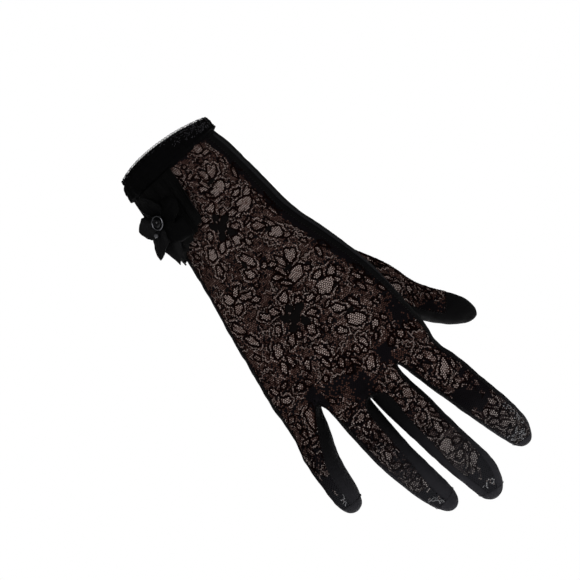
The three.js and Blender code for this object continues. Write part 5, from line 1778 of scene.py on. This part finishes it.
def rufflePlace(u, v, side):
    _, start, stop, low = between(ruffleTable, u)
    degrees = mix(start, stop, v)
    wrinkle, drift = noise.noise((u * 14, v * 3, 2.0)), noise.noise((u * 9, v * 2, 7.0))
    turn = math.tau * ruffle["folds"]
    fold = 0.5 + 0.5 * math.cos(turn * u + 1.3 * wrinkle)
    small = 0.5 + 0.5 * math.cos(turn * ruffle["smallFolds"] * u + 2.5 * drift)
    puff = math.sin(math.pi * mix(ruffle["from"], ruffle["to"], v)) ** ruffle["fullness"]
    bulge = ruffle["puff"] * mix(ruffle["least"], 1, littleShare(degrees))
    out = ruffle["seatGap"] + puff * (bulge + ruffle["depth"] * fold)
    out += ruffle["small"] * small * puff + ruffle["wrinkle"] * wrinkle * puff
    z = mix(ruffle["top"], low + fold + 0.6 * small * v * v, v)
    return handPoint(z, degrees, max(out, 0.2) + side * ruffle["thickness"])


# A sheet of cloth. at(u, v, side) gives its places, with side 1 outside.
def sheetPiece(name, sizes, at, slot):
    across, down = sizes["across"], sizes["down"]
    sheetPoints = []
    for side in (1, 0):
        for i in range(across + 1):
            sheetPoints += [at(i / across, j / down, side)[:] for j in range(down + 1)]
    i, j = (steps.ravel() for steps in np.meshgrid(np.arange(across), np.arange(down), indexing="ij"))
    a = i * (down + 1) + j
    outside = np.stack([a, a + down + 1, a + down + 2, a + 1], 1)
    spots = np.array([[i, i + 1, i + 1, i], [j, j, j + 1, j + 1]]).T / [across, down]
    rimChart = np.array([(0, 0), (0.5, 0), (0.5, 0.5), (0, 0.5)])
    faces, uv = twoFaced(outside, spots * sizes["chart"], (across + 1) * (down + 1), rimChart)
    return addPiece(name, sheetPoints, faces, [slot], uv=uv)


rufflePiece = sheetPiece("ruffle_cloth", ruffle, rufflePlace, "puffed")
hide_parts("wrist_ruffle")
print("ruffle made")

# The flower: satin petals round a bead in a bright ring.
flower = {
    "centre": (-27.1, -14.9, -24.4), "normal": (-0.55, -0.76, 0.35), "hub": 2.2, "thickness": 0.5,
    "crease": 0.3, "creaseHalf": 0.12, "across": 26, "down": 18, "chart": (12, 16),
}
# Node, tip, width, arch, cup, how far the root lies below the hub, wave of the rim, how pointed, finish
petalTable = [
    ("petal_side", (-36.4, -11.2, -21.6), 13, 1, 0.8, 2.8, 0.8, 0.7, "satin"),
    ("petal_outer_low", (-37.8, -10.6, -38.6), 11.5, 1.4, 0.9, 2.3, 1, 1, "satin"),
    ("petal_low", (-32.4, -9, -46.4), 14.5, 0.6, 0.9, 3.4, 1.1, 1.25, "satin"),
    ("petal_inner_low", (-17.6, -22, -39.8), 15, 2, 0.8, 2.2, 1.1, 0.8, "satinShade"),
    ("petal_inner", (-12.5, -23.8, -22), 14.5, 2, 0.8, 2.4, 1, 0.7, "satinShade"),
    ("petal_up", (-24.2, -18.6, -9.8), 12.5, 1.6, 0.7, 2.8, 0.9, 0.7, "satinShade"),
]
hub, outOfFlower = Vector(flower["centre"]), Vector(flower["normal"]).normalized()


# A petal curves from the hub to its tip. It is cupped, wavy at the rim and creased along the middle.
def petalPlace(row):
    _, end, width, arch, cup, sink, wave, pointed, _ = row
    end = Vector(end)
    away = end - hub
    away = (away - outOfFlower * away.dot(outOfFlower)).normalized()
    start = hub + away * flower["hub"] - outOfFlower * sink
    bend = (start + end) / 2 + outOfFlower * arch

    def at(t, u, side):
        centre = start * (1 - t) ** 2 + bend * 2 * t * (1 - t) + end * t * t
        ahead = ((bend - start) * (1 - t) + (end - bend) * t).normalized()
        across = ahead.cross(outOfFlower).normalized()
        over = across.cross(ahead).normalized()
        swell = min(1.0, 0.35 + 1.6 * t) * max(1 - t**2.6, 0.0) ** pointed + 0.012
        swell *= 1 + 0.06 * math.sin(11 * t + width * 3) + 0.035 * math.sin(29 * t + width * 5 + 3 * u)
        s = 1 - 2 * u
        raised = side * flower["thickness"] - cup * swell * s * s
        raised += wave * abs(s) ** 2.5 * math.sin(7.5 * t + 2.2 * s + width) * swell
        raised -= flower["crease"] * math.exp(-((s / flower["creaseHalf"]) ** 2)) * swell
        return centre + across * (width / 2 * swell * s) + over * raised

    return at


petalPieces = []
for row in petalTable:
    piece = sheetPiece(row[0] + "_satin", flower, petalPlace(row), row[-1])
    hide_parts(row[0])
    petalPieces.append(piece)


# A bead: a round or flattened ball on the flower's axis.
def ballPiece(name, slot, centre, radius, height, rowCount, sides):
    ballPoints, parts = [], newParts()
    for k in range(1, rowCount):
        a = math.pi * k / rowCount
        for m in range(sides):
            b = math.tau * m / sides
            wide = radius * math.sin(a)
            p = turnTo @ Vector((wide * math.cos(b), wide * math.sin(b), -height * math.cos(a))) + centre
            ballPoints.append(p[:])
    addPart(parts, ballPoints, tubeFaces(rowCount - 1, sides))
    return joinParts(name, [parts], [slot])


bead = {"radius": 2.5, "flat": 0.8, "ring": 3.3, "wire": 0.42, "ringSteps": 64, "seed": 1.1}
turnTo = Vector((0, 0, 1)).rotation_difference(outOfFlower)
beadPiece = ballPiece("flower_bead_glass", "bead", hub, bead["radius"], bead["radius"] * bead["flat"], 24, 32)
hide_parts("flower_bead")
ringParts, path = newParts(), []
for k in range(bead["ringSteps"]):
    a = math.tau * k / bead["ringSteps"]
    path.append((turnTo @ Vector((bead["ring"] * math.cos(a), bead["ring"] * math.sin(a), 0)) + hub)[:])
sweep(ringParts, path, [outOfFlower[:]] * len(path), bead["wire"], 12, True)
ringPiece = joinParts("flower_bead_metal_ring", [ringParts], ["beadRing"])
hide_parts("flower_bead_ring")
low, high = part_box("seed_bead")
middle = (Vector(low) + Vector(high)) / 2 / mm
seedPiece = ballPiece("seed_bead_glass", "seedBead", middle, bead["seed"], bead["seed"], 14, 20)
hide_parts("seed_bead")
print("flower made")

# Pieces listed under each finish; the loop below does nothing with them
slotOf = {
    "lace": [*laceNets, *laceCords], "jersey": [*jerseyPieces.values(), seamPiece, stitchPiece, weltPiece],
    "gathered_cloth": [cuffPiece, rufflePiece], "edging": [edgingPiece, picotPiece], "satin": petalPieces,
    "bead": [beadPiece, seedPiece], "bead_ring": [ringPiece],
}
for slotName, takers in slotOf.items():
    for piece in takers:
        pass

# The floor and light.
floor = {"half": 2.0, "z": -0.9, "colour": (0.8, 0.8, 0.8), "rough": 0.8}
mesh = bpy.data.meshes.new("floor")
cornerWays = ((-1, -1), (1, -1), (1, 1), (-1, 1))
floorCorners = [(x * floor["half"], y * floor["half"], floor["z"]) for x, y in cornerWays]
mesh.from_pydata(floorCorners, [], [(0, 1, 2, 3)])
floorPiece = addObject("floor", mesh)
pale, _, shader = newMaterial("paleFloor", floor)
shader.inputs["Base Color"].default_value = (*floor["colour"], 1)
mesh.materials.append(pale)


# Lights are in metres, and all look at the middle of the glove.
def addLight(name, spot, size, watts):
    light = bpy.data.lights.new(name, "AREA")
    light.size, light.energy = size, watts
    lamp = addObject(name, light)
    lamp.location = spot
    lamp.rotation_euler = (Vector((0, 0, -0.1)) - Vector(spot)).to_track_quat("-Z", "Y").to_euler()
    return lamp


addLight("key", (-0.6, -1.2, 0.7), 0.8, 9)
addLight("fill", (1.0, -0.9, -0.1), 1.0, 3)
rim = addLight("rim", (-0.25, 2.8, 0.3), 0.5, 480)
rim.visible_glossy = False  # it lights the palm side and leaves no glare along the outline
world = bpy.data.worlds.new("studio")
bpy.context.scene.world = world
world.use_nodes = True
sky = world.node_tree
air = sky.nodes["Background"]
air.inputs["Color"].default_value = (1, 1, 1, 1)
air.inputs["Strength"].default_value = 0.2
white = place(sky, "Background", {"Color": (1, 1, 1, 1), "Strength": 1.0})
seen = place(sky, "LightPath").outputs["Is Camera Ray"]
blend = place(sky, "MixShader", {0: seen, 1: air.outputs[0], 2: white.outputs[0]})
sky.links.new(blend.outputs[0], sky.nodes["World Output"].inputs["Surface"])
bpy.context.scene.view_settings.view_transform = "Standard"

made = [piece.data for piece in bpy.data.objects if piece.type == "MESH" and not piece.hide_render]
print("triangles", sum(len(face.vertices) - 2 for mesh in made for face in mesh.polygons))
